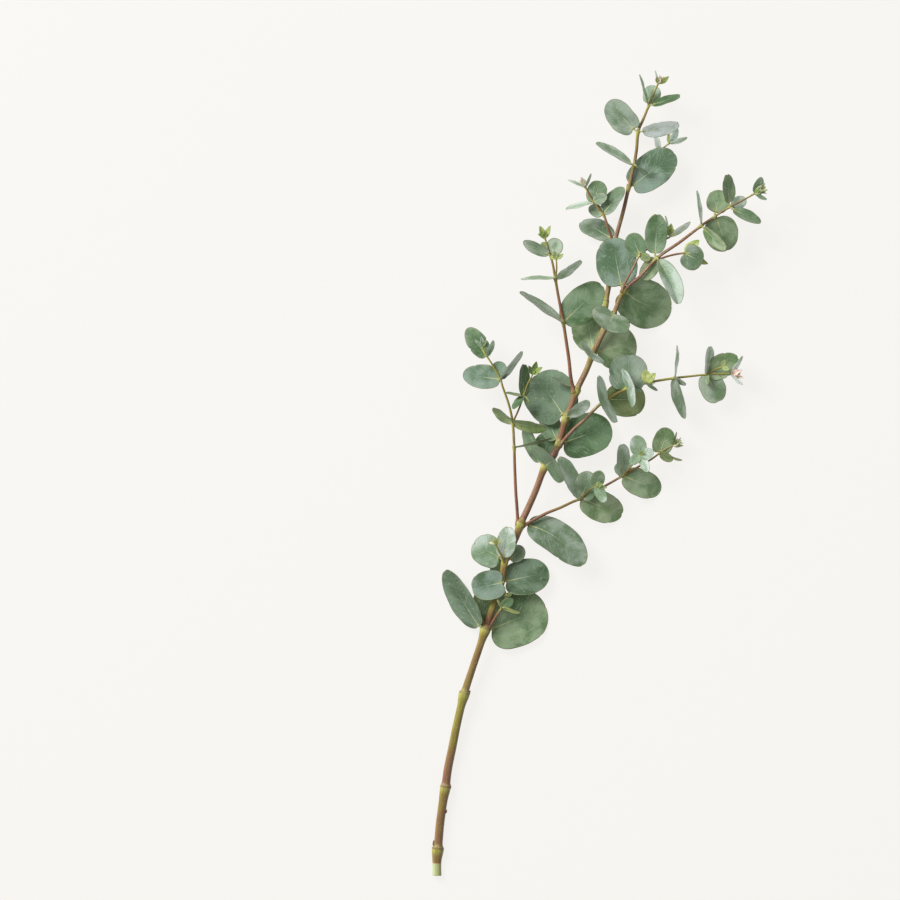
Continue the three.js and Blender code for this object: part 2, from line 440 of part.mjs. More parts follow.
function tube(stations, sides) {
  const rings = withSwellings(stations);
  const points = [];
  rings.forEach((ring, i) => {
    const tangent = tangentAt(rings, i);
    const side = new THREE.Vector3().crossVectors(UP, tangent).normalize();
    const top = new THREE.Vector3().crossVectors(tangent, side);
    for (let k = 0; k < sides; k += 1) {
      const angle = (2 * Math.PI * (k + 0.5)) / sides;
      points.push(ring.centre.clone()
        .addScaledVector(side, ring.radius * Math.cos(angle))
        .addScaledVector(top, ring.radius * Math.sin(angle)));
    }
  });
  const faces = [];
  for (let i = 0; i + 1 < rings.length; i += 1) {
    for (let k = 0; k < sides; k += 1) {
      const a = i * sides + k;
      const b = i * sides + ((k + 1) % sides);
      faces.push([a, b, b + sides], [a, b + sides, a + sides]);
    }
  }
  const first = points.push(rings[0].centre.clone()) - 1;
  const last = points.push(rings.at(-1).centre.clone()) - 1;
  const end = (rings.length - 1) * sides;
  for (let k = 0; k < sides; k += 1) {
    const next = (k + 1) % sides;
    faces.push([first, next, k], [last, end + k, end + next]);
  }
  return closedGeometry(points, faces);
}

// Every joint by name: its centre, swollen radius and the wood's direction there
function findJoints(stations, joints = new Map()) {
  stations.forEach((here, i) => {
    if (here.joint) {
      joints.set(here.joint, {
        centre: here.centre,
        radius: here.radius * here.swelling,
        tangent: tangentAt(stations, i),
      });
    }
  });
  return joints;
}

// The direction square to the wood in which something starts out from a joint
function startDirection(joint, start, heading) {
  const out = new THREE.Vector3(Math.cos(radians(heading)), Math.sin(radians(heading)), 0);
  const side = out.addScaledVector(joint.tangent, -out.dot(joint.tangent)).normalize();
  const top = UP.clone().addScaledVector(joint.tangent, -UP.dot(joint.tangent)).normalize();
  side.addScaledVector(top, -side.dot(top)).normalize();
  const angle = radians(start);
  return side.multiplyScalar(Math.cos(angle)).addScaledVector(top, Math.sin(angle));
}

function rootAt(joint, start, heading, distance) {
  return joint.centre.clone().addScaledVector(startDirection(joint, start, heading), distance);
}

function bud({ y, side, length, width }) {
  const stations = MAIN_AXIS.map(station);
  const next = stations.findIndex((here) => here.centre.y > y);
  const before = stations[next - 1];
  const after = stations[next];
  const share = (y - before.centre.y) / (after.centre.y - before.centre.y);
  const centre = before.centre.clone().lerp(after.centre, share);
  const tangent = after.centre.clone().sub(before.centre).normalize();
  const outward = new THREE.Vector3(-tangent.y, tangent.x, 0).multiplyScalar(side).normalize();
  const geometry = new THREE.IcosahedronGeometry(0.5, 0);
  geometry.deleteAttribute("normal");
  geometry.deleteAttribute("uv");
  geometry.applyMatrix4(new THREE.Matrix4().makeScale(width, length, width));
  geometry.applyMatrix4(new THREE.Matrix4().makeBasis(outward, tangent, UP));
  centre.addScaledVector(outward, before.radius * BUD_STAND_OFF);
  return mergedByPosition(geometry.translate(centre.x, centre.y, centre.z));
}

// The icosahedron comes with three corners of its own for each face: equal ones are joined
function mergedByPosition(geometry) {
  const position = geometry.getAttribute("position");
  const numbers = new Map();
  const points = [];
  const corners = [];
  for (let i = 0; i < position.count; i += 1) {
    const point = new THREE.Vector3().fromBufferAttribute(position, i);
    const key = point.toArray().map((value) => value.toFixed(4)).join(" ");
    if (!numbers.has(key)) numbers.set(key, points.push(point) - 1);
    corners.push(numbers.get(key));
  }
  const faces = [];
  for (let i = 0; i < corners.length; i += 3) faces.push(corners.slice(i, i + 3));
  return closedGeometry(points, faces);
}

// Blades

function readLeaf([joint, start, heading, pitch, roll, length, width, outline, arch, fold, sweep]) {
  return { joint, start, heading, pitch, roll, length, width, outline, arch, fold, sweep };
}

// Half width at a share s of the way from base to tip, as a share of the blade's half width
function halfWidthShare(outline, s) {
  const across = Math.abs(2 * s ** outline.skew - 1);
  return Math.max(1 - across ** outline.power, 0) ** (1 / outline.power);
}

// Where a midrib of this length, bending evenly by an angle, has got to: along and aside
function arc(length, bend, s) {
  if (Math.abs(bend) < STRAIGHT) return [length * s, 0];
  return [(length * Math.sin(bend * s)) / bend, (length * (1 - Math.cos(bend * s))) / bend];
}

// A point of the blade's middle surface in the leaf's own frame: X along the midrib at the
// base, Y to the left, Z out of the upper face. s runs from base to tip, t from -1 to 1 across.
function bladePoint(leaf, s, t, halfWidth) {
  const arch = radians(leaf.arch);
  const sweep = radians(leaf.sweep);
  const fold = radians(leaf.fold);
  const [along, rise] = arc(leaf.length, arch, s);
  const [share, aside] = arc(leaf.length, sweep, s);
  const reach = s > 0 ? share / (leaf.length * s) : 1;
  const left = new THREE.Vector3(-Math.sin(sweep * s), Math.cos(sweep * s), 0);
  const normal = new THREE.Vector3(-Math.sin(arch * s), 0, Math.cos(arch * s));
  const widthHere = (halfWidthShare(leaf.outline, s) * leaf.width) / 2;
  const back = leaf.outline.lobe * widthHere * t * t * (1 - s) ** 3;
  return new THREE.Vector3(along * reach - back, aside, rise)
    .addScaledVector(left, halfWidth * t * Math.cos(fold))
    .addScaledVector(normal, halfWidth * Math.abs(t) * Math.sin(fold));
}

function bladeSteps(length) {
  if (length > LONG_LEAF) return 5;
  return length > SHORT_LEAF ? 4 : 3;
}

// Rows of points across, from the root to the tip: edge, midrib and edge, which is notched at
// the tip, or on a short leaf the two edges alone
function bladeGrid(leaf, petiole) {
  const steps = bladeSteps(leaf.length);
  const small = leaf.length <= SHORT_LEAF;
  const across = small ? [-1, 1] : [-1, 0, 1];
  const rootWidth = small ? PETIOLE_WIDTH / 2 : PETIOLE_WIDTH;
  const grid = [];
  if (petiole > 0) grid.push(across.map((t) => new THREE.Vector3(0, (t * rootWidth) / 2, 0)));
  for (let i = 0; i <= steps; i += 1) {
    const s = (1 - Math.cos((Math.PI * i) / steps)) / 2;
    let halfWidth = (halfWidthShare(leaf.outline, s) * leaf.width) / 2;
    if (i === 0) halfWidth = rootWidth / 2;
    if (i === steps) halfWidth = (TIP_WIDTH_SHARE * leaf.width) / 2;
    const row = across.map((t) => bladePoint(leaf, s, t, halfWidth));
    if (i === steps && !small) row[1].x -= NOTCH_DEPTH;
    row.forEach((point) => { point.x += petiole; });
    grid.push(row);
  }
  return grid;
}

function leafMatrix(leaf, root) {
  const turn = new THREE.Euler(radians(leaf.roll), -radians(leaf.pitch), radians(leaf.heading), "ZYX");
  return new THREE.Matrix4().makeRotationFromEuler(turn).setPosition(root);
}

// A leaf that would pass through the surface lies pressed flat on it instead
function pressed(point, lowest) {
  point.z = Math.max(point.z, lowest);
  return point;
}

// The upward normal of the middle surface at each point of the grid
function gridNormals(grid) {
  return grid.map((row, i) => row.map((_, j) => {
    const before = grid[Math.max(i - 1, 0)][j];
    const after = grid[Math.min(i + 1, grid.length - 1)][j];
    const along = after.clone().sub(before);
    const across = row[Math.min(j + 1, row.length - 1)].clone().sub(row[Math.max(j - 1, 0)]);
    return along.cross(across).normalize();
  }));
}

// Both faces are split into triangles alike, so that a curved blade never crosses itself
function bladeGeometry(leaf, root, petiole = 0) {
  const matrix = leafMatrix(leaf, root);
  const half = BLADE_THICKNESS / 2;
  const grid = bladeGrid(leaf, petiole).map((row) => (
    row.map((p) => pressed(p.applyMatrix4(matrix), half))));
  const normals = gridNormals(grid);
  const side = (sign, lowest) => grid.flatMap((row, i) => row.map((p, j) => (
    pressed(p.clone().addScaledVector(normals[i][j], sign * half), lowest))));
  const points = [...side(1, BLADE_THICKNESS), ...side(-1, 0)];
  return closedGeometry(points, bladeFaces(grid.length, grid[0].length));
}

function bladeFaces(rows, columns) {
  const below = rows * columns;
  const faces = [];
  const wall = (p, q) => faces.push([p, p + below, q + below], [p, q + below, q]);
  for (let i = 0; i + 1 < rows; i += 1) {
    for (let j = 0; j + 1 < columns; j += 1) {
      const a = i * columns + j;
      const [b, c, d] = [a + columns, a + columns + 1, a + 1];
      const split = j === 0 ? [[a, b, c], [a, c, d]] : [[a, b, d], [b, c, d]];
      split.forEach(([p, q, r]) => faces.push([p, q, r], [p + below, r + below, q + below]));
    }
    wall(i * columns, (i + 1) * columns);
    wall((i + 2) * columns - 1, (i + 1) * columns - 1);
  }
  for (let j = 0; j + 1 < columns; j += 1) {
    wall(j + 1, j);
    wall((rows - 1) * columns + j, (rows - 1) * columns + j + 1);
  }
  return faces;
}

// Pieces

function mainStem() {
  const axis = tube(MAIN_AXIS.map(station), WOOD_SIDES);
  const forks = [LEFT_FORK, RIGHT_FORK].map((rows) => tube(rows.map(station), FORK_SIDES));
  return fused([axis, ...forks, ...BUDS.map(bud)]);
}

function woodLeaf(row, joints) {
  const leaf = readLeaf(row.slice(1));
  const joint = joints.get(leaf.joint);
  const out = startDirection(joint, leaf.start, leaf.heading);
  const distance = joint.radius + ROOT_GAP + petioleReach(leaf, out);
  return bladeGeometry(leaf, joint.centre.clone().addScaledVector(out, distance), PETIOLE_LENGTH);
}

// How far a petiole's end reaches from its middle towards the wood, which lies against out
function petioleReach(leaf, out) {
  const matrix = leafMatrix(leaf, new THREE.Vector3());
  const left = new THREE.Vector3(0, 1, 0).transformDirection(matrix);
  const normal = new THREE.Vector3(0, 0, 1).transformDirection(matrix);
  return (PETIOLE_WIDTH * Math.abs(left.dot(out)) + BLADE_THICKNESS * Math.abs(normal.dot(out))) / 2;
}

// A shoot's wood and leaves, and those of the twigs on it. Roots start inside the wood.
function shootParts(shoot, start) {
  const stations = [start, ...shoot.wood.map(station)];
  const joints = findJoints(stations);
  const leaves = shoot.leaves.map(readLeaf).map((leaf) => {
    const joint = joints.get(leaf.joint);
    return bladeGeometry(leaf, rootAt(joint, leaf.start, leaf.heading, joint.radius * ROOT_SUNK_SHARE));
  });
  const twigs = (shoot.twigs ?? []).flatMap((twig) => {
    const joint = joints.get(twig.joint);
    return shootParts(twig, { centre: joint.centre, radius: twig.wood[0][3] / 2, swelling: 1 });
  });
  return [tube(stations, SHOOT_SIDES), ...leaves, ...twigs];
}

function sideShoot(shoot, joints) {
  const joint = joints.get(shoot.joint);
  const radius = shoot.wood[0][3] / 2;
  const centre = rootAt(joint, shoot.start, shoot.heading, joint.radius + ROOT_GAP + radius);
  return fused(shootParts(shoot, { centre, radius, swelling: 1 }));
}

function growingTip(tip, joints) {
  const joint = joints.get(tip.joint);
  const centre = joint.centre.clone().addScaledVector(joint.tangent, ROOT_GAP);
  return fused(shootParts(tip, { centre, radius: tip.wood[0][3] / 2, swelling: 1 }));
}

function addPiece(group, name, geometry, finish) {
  geometry.computeVertexNormals();
  const mesh = new THREE.Mesh(geometry, new THREE.MeshStandardMaterial({ ...finish, metalness: 0 }));
  mesh.name = name;
  group.add(mesh);
}

function leafFinish(name) {
  if (PALE_LEAVES.includes(name)) return MATERIALS.paleLeaf;
  return DEEP_LEAVES.includes(name) ? MATERIALS.deepLeaf : MATERIALS.leaf;
}

function eucalyptusBranch() {
  const group = new THREE.Group();
  const joints = new Map();
  [MAIN_AXIS, LEFT_FORK, RIGHT_FORK].forEach((rows) => findJoints(rows.map(station), joints));
  addPiece(group, "main_stem", mainStem(), MATERIALS.wood);
  WOOD_LEAVES.forEach((row) => addPiece(group, row[0], woodLeaf(row, joints), leafFinish(row[0])));
  SHOOTS.forEach((shoot) => addPiece(group, shoot.name, sideShoot(shoot, joints), MATERIALS.shoot));
  TIPS.forEach((tip) => addPiece(group, tip.name, growingTip(tip, joints), MATERIALS.shoot));
  const box = new THREE.Box3().setFromObject(group);
  const middle = box.getCenter(new THREE.Vector3());
  group.position.set(-middle.x, -middle.y, -box.min.z);
  return group;
}

export default eucalyptusBranch();
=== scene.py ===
"""A cut branch of round-leaved eucalyptus, lying on a pale surface.

The tables give the branch in millimetres from the middle of its cut end: +Y towards the growing
tips, +X to its right seen from above, +Z up from the surface. Each piece is made there and then
moved to the frame, in metres.
"""
import math
import random

import bpy
import numpy as np
from mathutils import Matrix, Vector


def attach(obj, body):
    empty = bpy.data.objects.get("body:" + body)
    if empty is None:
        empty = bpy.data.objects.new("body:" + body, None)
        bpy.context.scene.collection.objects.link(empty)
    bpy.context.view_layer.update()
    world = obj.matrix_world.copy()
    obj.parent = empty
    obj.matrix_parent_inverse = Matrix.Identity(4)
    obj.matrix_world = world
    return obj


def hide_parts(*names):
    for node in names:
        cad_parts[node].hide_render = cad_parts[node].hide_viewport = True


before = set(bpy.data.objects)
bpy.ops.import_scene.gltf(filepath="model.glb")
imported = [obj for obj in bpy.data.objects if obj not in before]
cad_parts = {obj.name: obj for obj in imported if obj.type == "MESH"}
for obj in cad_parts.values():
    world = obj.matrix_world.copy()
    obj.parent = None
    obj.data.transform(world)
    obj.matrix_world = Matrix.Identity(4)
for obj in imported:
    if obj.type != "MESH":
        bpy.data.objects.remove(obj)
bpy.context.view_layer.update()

UP = Vector((0, 0, 1))
MM = 0.001
CUT_END = Vector((-113.63, -282.11, 0))

# The solids: the gap between wood and a stalk or a shoot, and the stalk's length, width, thickness
ROOT_GAP = 0.3
PETIOLE_LENGTH = 1.5
PETIOLE_WIDTH = 1.8
CAD_THICKNESS = 0.7

# How far inside the wood a leaf, a shoot, a twig or a tip begins, in millimetres or as a share of
# the wood's radius or of the way out
ROOT_SUNK_SHARE = 0.4
STALK_SUNK_SHARE = 0.5
AXIL_DEPTH = 2.5
TWIG_START_SHARE = 0.02
TIP_START_DEPTH = 0.6

# Blades, in millimetres. The midrib is lower on leaves narrower than FULL_RIB_WIDTH, and surface
# patterns are finer on those narrower than FINE_LEAF_WIDTH.
BLADE_HALF = 0.2
LEAST_HALF_WIDTH = 0.05
BASE_REACH = 1.5
RIB_HEIGHT = 0.3
RIB_WIDTH = 0.45
GROOVE_DEPTH = 0.12
FULL_RIB_WIDTH = 30
FINE_LEAF_WIDTH = 12
PRESSED_SPREAD = 0.6

# Stalks, in millimetres, with the bend and the flare towards the wood as shares
PETIOLE_HALF_WIDTH = 0.62
PETIOLE_HALF_HEIGHT = 0.5
PETIOLE_RINGS = 7
PETIOLE_OVERLAP = 0.15
PETIOLE_BEND = 0.55
PETIOLE_FLARE = 0.75

# Unevenness of a blade, as shares of its width: the ripple of its surface along the edges, the
# swells and their lengths, how much wider or narrower a side may be, and the waves of the outline,
# each with its height and its radians from base to tip
RIPPLE = 0.022
RIPPLE_WAVES = 1.3
SWELL = 0.008
SWELL_LENGTHS = (0.9, 0.55, 0.35)
SIDE_STRAY = 0.03
EDGE_WAVES = ((0.016, 8), (0.008, 21))

# The notch at the tip and a nick in each edge, for leaves longer than NOTCHED_LEAF, in millimetres,
# with the nick's place as a share of the way to the tip
NOTCHED_LEAF = 19
NOTCH_CHANCE = 0.75
NOTCH_DEPTH = 0.85
NOTCH_WIDTH = 0.8
NOTCH_LENGTH = 1.3
NICK_CHANCE = 0.45
NICK_LENGTH = 0.7
NICK_DEPTHS = (0.35, 0.9)
NICK_PLACES = (0.35, 0.9)

# Rows and columns of a blade longer than the first number. The rows crowd towards base and tip, and
# a column runs close inside each edge.
BLADE_GRIDS = [(24, 52, 13), (12, 30, 9), (0, 16, 7)]
CROWDED_SHARE = 0.55
LAST_ROW = 0.9985
EDGE_COLUMN = 0.3
EDGE_LIMIT = 0.97

# Blade outlines: power (2 is an ellipse, less is more pointed), skew (under 1 puts the widest
# place nearer the base), lobe (how far the base corners sweep back)
ROUND = (2.15, 0.95, 0.5)
OVAL = (2.0, 0.9, 0.2)
LONG = (1.85, 0.95, 0)
POINTED = (1.5, 0.8, 0)

# Blade colours, as seen on screen: partly each leaf's own colour and partly painted light, paler colours
# standing in for the glint on leaves the light grazes and darker ones for leaves in shade
DARK = (86, 115, 78)
MOSS = (92, 115, 89)
DEEP = (106, 132, 98)
OLIVE = (118, 136, 86)
BLUE = (110, 133, 113)
GREEN = (118, 142, 105)
GREY = (122, 140, 119)
SAGE = (135, 156, 117)
LIGHT = (141, 160, 135)
HAZE = (163, 183, 162)
FRESH = (144, 162, 101)
PALE = (187, 203, 188)
FROST = (212, 229, 217)
YOUNG = (192, 204, 124)
ROSE = (226, 206, 186)
CREAM = (230, 224, 192)

# Wood, in millimetres and shares of its radius: rings, the peeled end, then the swelling, the
# ring scar and the greener bark at a joint, low ribs, and the flare at a shoot's foot
STEM_SIDES, FORK_SIDES, SHOOT_SIDES = 28, 20, 12
STEM_STEP, SHOOT_STEP = 0.5, 0.6
PEELED_LENGTH = 9
PEELED_EDGE = 0.6
NODE_BOOST = 1.08
FLARE_BELOW = 2.2
FLARE_ABOVE = 0.7
SCAR_PLACE = 0.5
SCAR_WIDTH = 0.45
SCAR_RISE = 0.04
NODE_SHIFT = 0.8
NODE_REACH = 2.8
WOOD_RIBS = 0.015
RIB_TURN_LENGTH = 9
ROOT_FLARE = 0.9
TWIG_FLARE = 0.2
ROOT_FLARE_REACH = 3.2

# How red the bark is, from 0 (yellow-green) to 1 (dark red-brown): at a y on the stem and its
# forks, and at a distance along each side shoot
STEM_RED = [(0, 0.4), (17, 0.35), (24, 0.5), (60, 0.3), (64, 0.75), (82, 0.5), (95, 0.15), (126, 0.1),
            (131, 0.35), (160, 0.45), (173, 0.2), (177, 1.0), (183, 0.55), (188, 0.1), (222, 0.4),
            (236, 0.7), (246, 0.15), (252, 0.75), (285, 0.7), (292, 0.85), (315, 0.65), (345, 0.6),
            (365, 0.3)]
LEFT_RED = [(368, 0.3), (400, 0.1), (410, 0.35), (444, 0.3), (450, 0.62), (480, 0.6), (486, 0.5),
            (508, 0.4), (522, 0.2), (540, 0.4)]
RIGHT_RED = [(368, 0.4), (385, 0.55), (409, 0.5), (414, 0.8), (432, 0.55), (446, 0.7), (470, 0.5)]
SHOOT_RED = {
    "shoot_d": [(0, 0.5), (5, 0.8), (14, 0.6)],
    "shoot_e2": [(0, 0.2), (10, 0.1)],
    "shoot_e": [(0, 0.5), (6, 0.85), (26, 0.45), (44, 0.25), (60, 0.75), (90, 0.4)],
    "shoot_f2": [(0, 0.4), (8, 0.8), (30, 0.55), (48, 0.2), (70, 0.1), (110, 0.1)],
    "shoot_h": [(0, 0.4), (8, 0.85), (40, 0.7), (62, 0.25), (90, 0.1), (120, 0.2)],
    "shoot_k": [(0, 0.4), (8, 0.95), (40, 0.7), (60, 0.8), (80, 0.5), (100, 0.2)],
    "shoot_r2": [(0, 0.6), (20, 0.6), (40, 0.2)],
    "shoot_r3": [(0, 0.6), (20, 0.8)],
    "shoot_l1": [(0, 0.5), (8, 0.8), (30, 0.5), (45, 0.5)],
    "shoot_l2": [(0, 0.5), (15, 0.3), (40, 0.3)],
}
TWIG_RED = [(0, 0.3), (20, 0.2)]
TIP_RED = [(0, 0.3), (8, 0.2)]
BUD_RED = 0.9

# Surface colours, as seen on screen
RIB_COLOUR = (186, 204, 176)
RIB_BASE_COLOUR = (196, 196, 128)
BASE_COLOUR = (164, 170, 106)
VEIN_COLOUR = (186, 204, 180)
INNER_EDGE_COLOUR = (150, 168, 118)
MARGIN_COLOUR = (84, 66, 50)
UNDER_COLOUR = (176, 196, 182)
WOOD_STOPS = [(0.0, (134, 131, 46)), (0.25, (126, 111, 42)), (0.5, (120, 91, 46)),
              (0.75, (126, 84, 60)), (1.0, (106, 64, 50))]
SPECK_COLOUR = (196, 178, 140)
NODE_COLOUR = (168, 168, 84)
SCAR_COLOUR = (96, 58, 42)
PEELED_COLOUR = (158, 172, 116)
PEELED_LIGHT = (184, 194, 142)
TORN_COLOUR = (150, 96, 50)
FLOOR_COLOUR = (245, 243, 239)
FLOOR_DIFFUSE = (70, 69, 68)

# What a colour is multiplied by: on a blade without and with its bloom, and on the wood for its paler and
# darker streaks and for the painted light on its left flank and painted shade on its right
BARE = (0.52, 0.64, 0.46, 1)
BLOOM = (1.44, 1.32, 1.48, 1)
DARK_STREAK_AND_PAINTED_SHADE = (0.56, 0.45, 0.26, 1)
PALE_STREAK_AND_PAINTED_LIGHT = (1.58, 1.54, 1.56, 1)

# Side veins: their slant, and the millimetres from one to the next and along one
VEIN_SLANT = 1.15
VEIN_SPACING = 3.0
VEIN_LENGTH = 11

# The depth of bump, in metres
BUMP_DISTANCE = 0.0005

# The light, the floor and the camera, in metres and watts
FLOOR_GLOW = 0.93
FLOOR_REACH = 20
SKY_STRENGTH = 0.5
KEY_PLACE = (-1.5, 1.25, 1.95)
KEY_SIZE = 1.3
KEY_POWER = 78
CAMERA_HEIGHT = 5
FRAME_WIDTH = 0.63
FRAME_CENTRE = (-0.1045, 0.0168)
FOCUS_LEVEL = 0.02

# Wood. Each row: x, y, z of the centre, diameter, then at a joint its swelling and its name.
MAIN_AXIS = [
    (0, 0, 2.91, 6.3), (0, 10.5, 3.1, 6), (0.7, 18.9, 4.2, 6, 1.38, "a"), (2.1, 36.4, 4.4, 6),
    (4.5, 53.9, 4.9, 6), (6, 62.3, 5.1, 6, 1.23, "b"), (7.7, 74.9, 5.6, 5.9), (10.5, 88.9, 6.2, 5.8),
    (14, 106.4, 7.1, 5.6), (19.3, 128.1, 8.3, 5.4, 1.42, "c"), (24.6, 144.9, 9.4, 5),
    (30, 161, 10.6, 5), (34.1, 173.4, 11.4, 5.2, 1.45, "d"), (39.5, 190, 12.4, 4.8),
    (45.2, 207, 13.4, 4.7, 1.1, "e1"), (48, 222, 14.3, 4.6, 1.1, "e2"), (55.2, 237, 15.2, 4.6),
    (59, 248, 16, 4.7, 1.55, "e"), (62.8, 256, 16.5, 4.6), (69, 270, 17.4, 4.5),
    (76, 288, 18.4, 4.5, 1.3, "f"), (81.3, 295, 18.9, 4.4), (85.5, 304, 19.4, 4.4, 1.25, "f2"),
    (87.2, 310, 19.8, 4.3), (90.4, 321.8, 20.3, 4.3, 1.25, "f3"), (93.6, 329, 20.7, 4.2),
    (98, 341, 21.2, 4.2, 1.4, "f4"), (104.7, 355, 21.7, 4.1), (109.4, 367.3, 22, 4, 1.45, "g"),
]
LEFT_FORK = [
    (109.4, 367.3, 22, 3.9), (113.4, 375, 21.7, 3.8), (117, 386, 21, 3.7),
    (118.4, 403, 19.6, 3.6, 1.2, "l0"), (120.5, 415, 19, 3.6), (123, 430, 18.8, 3.5),
    (125, 446, 19.2, 3, 1.35, "l1"), (130.6, 467, 21, 2.7), (134.4, 483.7, 22, 2.6, 1.4, "l2"),
    (137.9, 498.4, 22.8, 2.3, 1.3, "l2b"), (139.6, 509, 23.4, 2.2), (140.8, 522, 24.2, 2.2, 1.35, "l3"),
    (144.2, 530, 24.7, 1.9), (148.4, 540.4, 25.4, 1.8, 1.4, "l4"), (151.2, 547.4, 25.9, 1.4),
    (153.4, 552.6, 26.3, 1.3, 1.2, "l5"),
]
RIGHT_FORK = [
    (109.4, 367.3, 22, 3.5), (115, 378, 22.8, 3.4), (119, 386, 23.3, 3.3),
    (123.9, 394.8, 23.8, 3.2, 1.3, "r1"), (126.7, 401.8, 24.3, 3.1),
    (131, 410.9, 24.8, 2.8, 1.4, "r2"), (142.1, 420.5, 25.2, 2.2), (154, 433.2, 25.7, 2.2, 1.5, "r3"),
    (170.1, 444.5, 26.5, 2.2), (185, 455.8, 27.2, 1.9, 1.6, "r4"),
    (194.8, 462.6, 27.8, 1.6, 1.4, "r5"), (205.1, 469, 28.3, 1.5, 1.5, "r6"),
    (213.5, 473.2, 28.8, 1.2), (220, 477, 29.2, 1.2, 1.2, "r7"),
]
# Leaves on the stem and its forks. The name gives the joint. Each row: the angle round the wood and
# the heading it starts at, pitch, roll, length, width, outline, arch, fold, colour, and where the blade
# bends to a side, its sweep. All angles are in degrees.
WOOD_LEAVES = {
    "leaf_d_left": (30, 125, -4, -50, 46, 27, OVAL, -8, 6, MOSS),
    "leaf_d_right": (-53, 22, -13, 0, 42, 38.5, ROUND, 6, 4, GREEN),
    "leaf_d_under": (-64, 88, -12, 24, 30, 18, OVAL, 12, 0, SAGE),
    "leaf_e1_left": (124, 191, 15, 4, 22, 21, ROUND, -12, 6, BLUE),
    "leaf_e1_right": (-53, 12, -8, -6, 31, 25, ROUND, 0, 2, MOSS),
    "leaf_e2_left": (0, 151, 8, 0, 21, 22, ROUND, -8, 6, HAZE),
    "leaf_e2_top": (60, 80, 14, 10, 22.5, 14.5, OVAL, -6, 10, PALE),
    "leaf_e2_right": (-53, 40, -14, 0, 13, 12, OVAL, 0, 4, LIGHT),
    "leaf_e2_under": (-64, 232, -12, 0, 12, 9, OVAL, 0, 0, PALE),
    "leaf_e_right": (-30, -15, 0, -27, 49, 26, OVAL, -12, 8, GREY, -42),
    "leaf_f_left": (-12, 115, -12, -47, 27, 14, OVAL, 0, 6, DEEP),
    "leaf_f_top": (90, 39, 72, 0, 27, 33, ROUND, 4, 8, DARK),
    "leaf_f_under": (-64, 80, -28, -14, 24, 20, OVAL, 10, 0, DARK),
    "leaf_f2_right": (-58, 20, -8, -6, 36, 30, ROUND, -4, 2, DARK),
    "leaf_f2_under": (-64, 112, -30, 0, 24, 16, OVAL, 0, 0, LIGHT),
    "leaf_f3_left": (-64, 123, -20, 0, 38, 37, ROUND, -14, 2, MOSS),
    "leaf_f3_top": (90, 31, 28, 40, 24, 11, LONG, 10, 14, PALE, 28),
    "leaf_f4_left": (-24, 152, -8, 72, 15, 9, OVAL, 0, 8, DEEP),
    "leaf_g_top": (90, 228, 76, 0, 22, 23, ROUND, 4, 8, HAZE),
    "leaf_g_right": (-60, 20, -16, 0, 30, 32, OVAL, -6, 0, SAGE),
    "leaf_g_left": (-90, 99, -42, 0, 42, 24, OVAL, 10, 0, SAGE),
    "leaf_r1_top": (90, 243, 58, 0, 27, 29, ROUND, 6, 8, LIGHT),
    "leaf_r2_up": (-17, 101, -3, 6, 34, 30, OVAL, 2, 2, BLUE),
    "leaf_r2_right": (-90, -46, -28, 0, 41, 34.5, ROUND, -10, 4, GREEN, 50),
    "leaf_r3_up": (17, 87, 12, 0, 28, 16, OVAL, 0, 8, DEEP),
    "leaf_r3_top": (90, -58, 10, -20, 35, 17, LONG, -8, 34, HAZE, -14),
    "leaf_r3_under": (-90, 235, -4, 0, 17, 12, ROUND, 0, 2, SAGE),
    "leaf_r4_up": (90, 99, 12, 74, 24, 12, LONG, 0, 8, FROST),
    "leaf_r4_down": (53, -47, 24, 52, 23, 13, OVAL, -10, 10, SAGE),
    "leaf_r5_down": (-80, -71, -19, 0, 25, 24, OVAL, 6, 0, GREEN),
    "leaf_r5_up": (-40, 72, -20, 0, 17, 16, OVAL, 0, 4, GREEN),
    "leaf_r6_up": (17, 93, 12, 46, 20, 13, OVAL, -6, 8, GREEN),
    "leaf_r6_right": (17, -26, 6, -46, 21, 12, OVAL, 0, 10, DEEP),
    "leaf_r6_under": (-90, 26, -30, 0, 13, 9, OVAL, 0, 4, HAZE),
    "leaf_l1_left": (-37, 146, -29, 30, 29, 18, OVAL, -12, 6, GREY),
    "leaf_l1_right": (-12, -54, -8, 60, 8, 5, OVAL, 0, 8, OLIVE),
    "leaf_l2_right": (-53, 38, -3, -2, 37, 25, ROUND, -2, 2, BLUE),
    "leaf_l2b_left": (64, 151, 14, 70, 29, 20, OVAL, 0, 8, HAZE),
    "leaf_l2b_right": (64, -36, 30, 74, 10, 8, OVAL, 0, 8, DARK),
    "leaf_l3_left": (0, 134, 2, -34, 26, 22, ROUND, -4, 8, GREY),
    "leaf_l3_right": (17, 10, 8, 56, 26, 18, OVAL, -4, 10, FROST),
    "leaf_l4_left": (64, 107, 20, 76, 21, 9, OVAL, 0, 8, PALE),
    "leaf_l4_right": (53, 17, 16, -50, 21, 9.5, OVAL, 0, 8, DARK),
    "leaf_l4_under": (-90, 74, -24, 0, 14, 12.5, ROUND, 0, 2, HAZE),
}

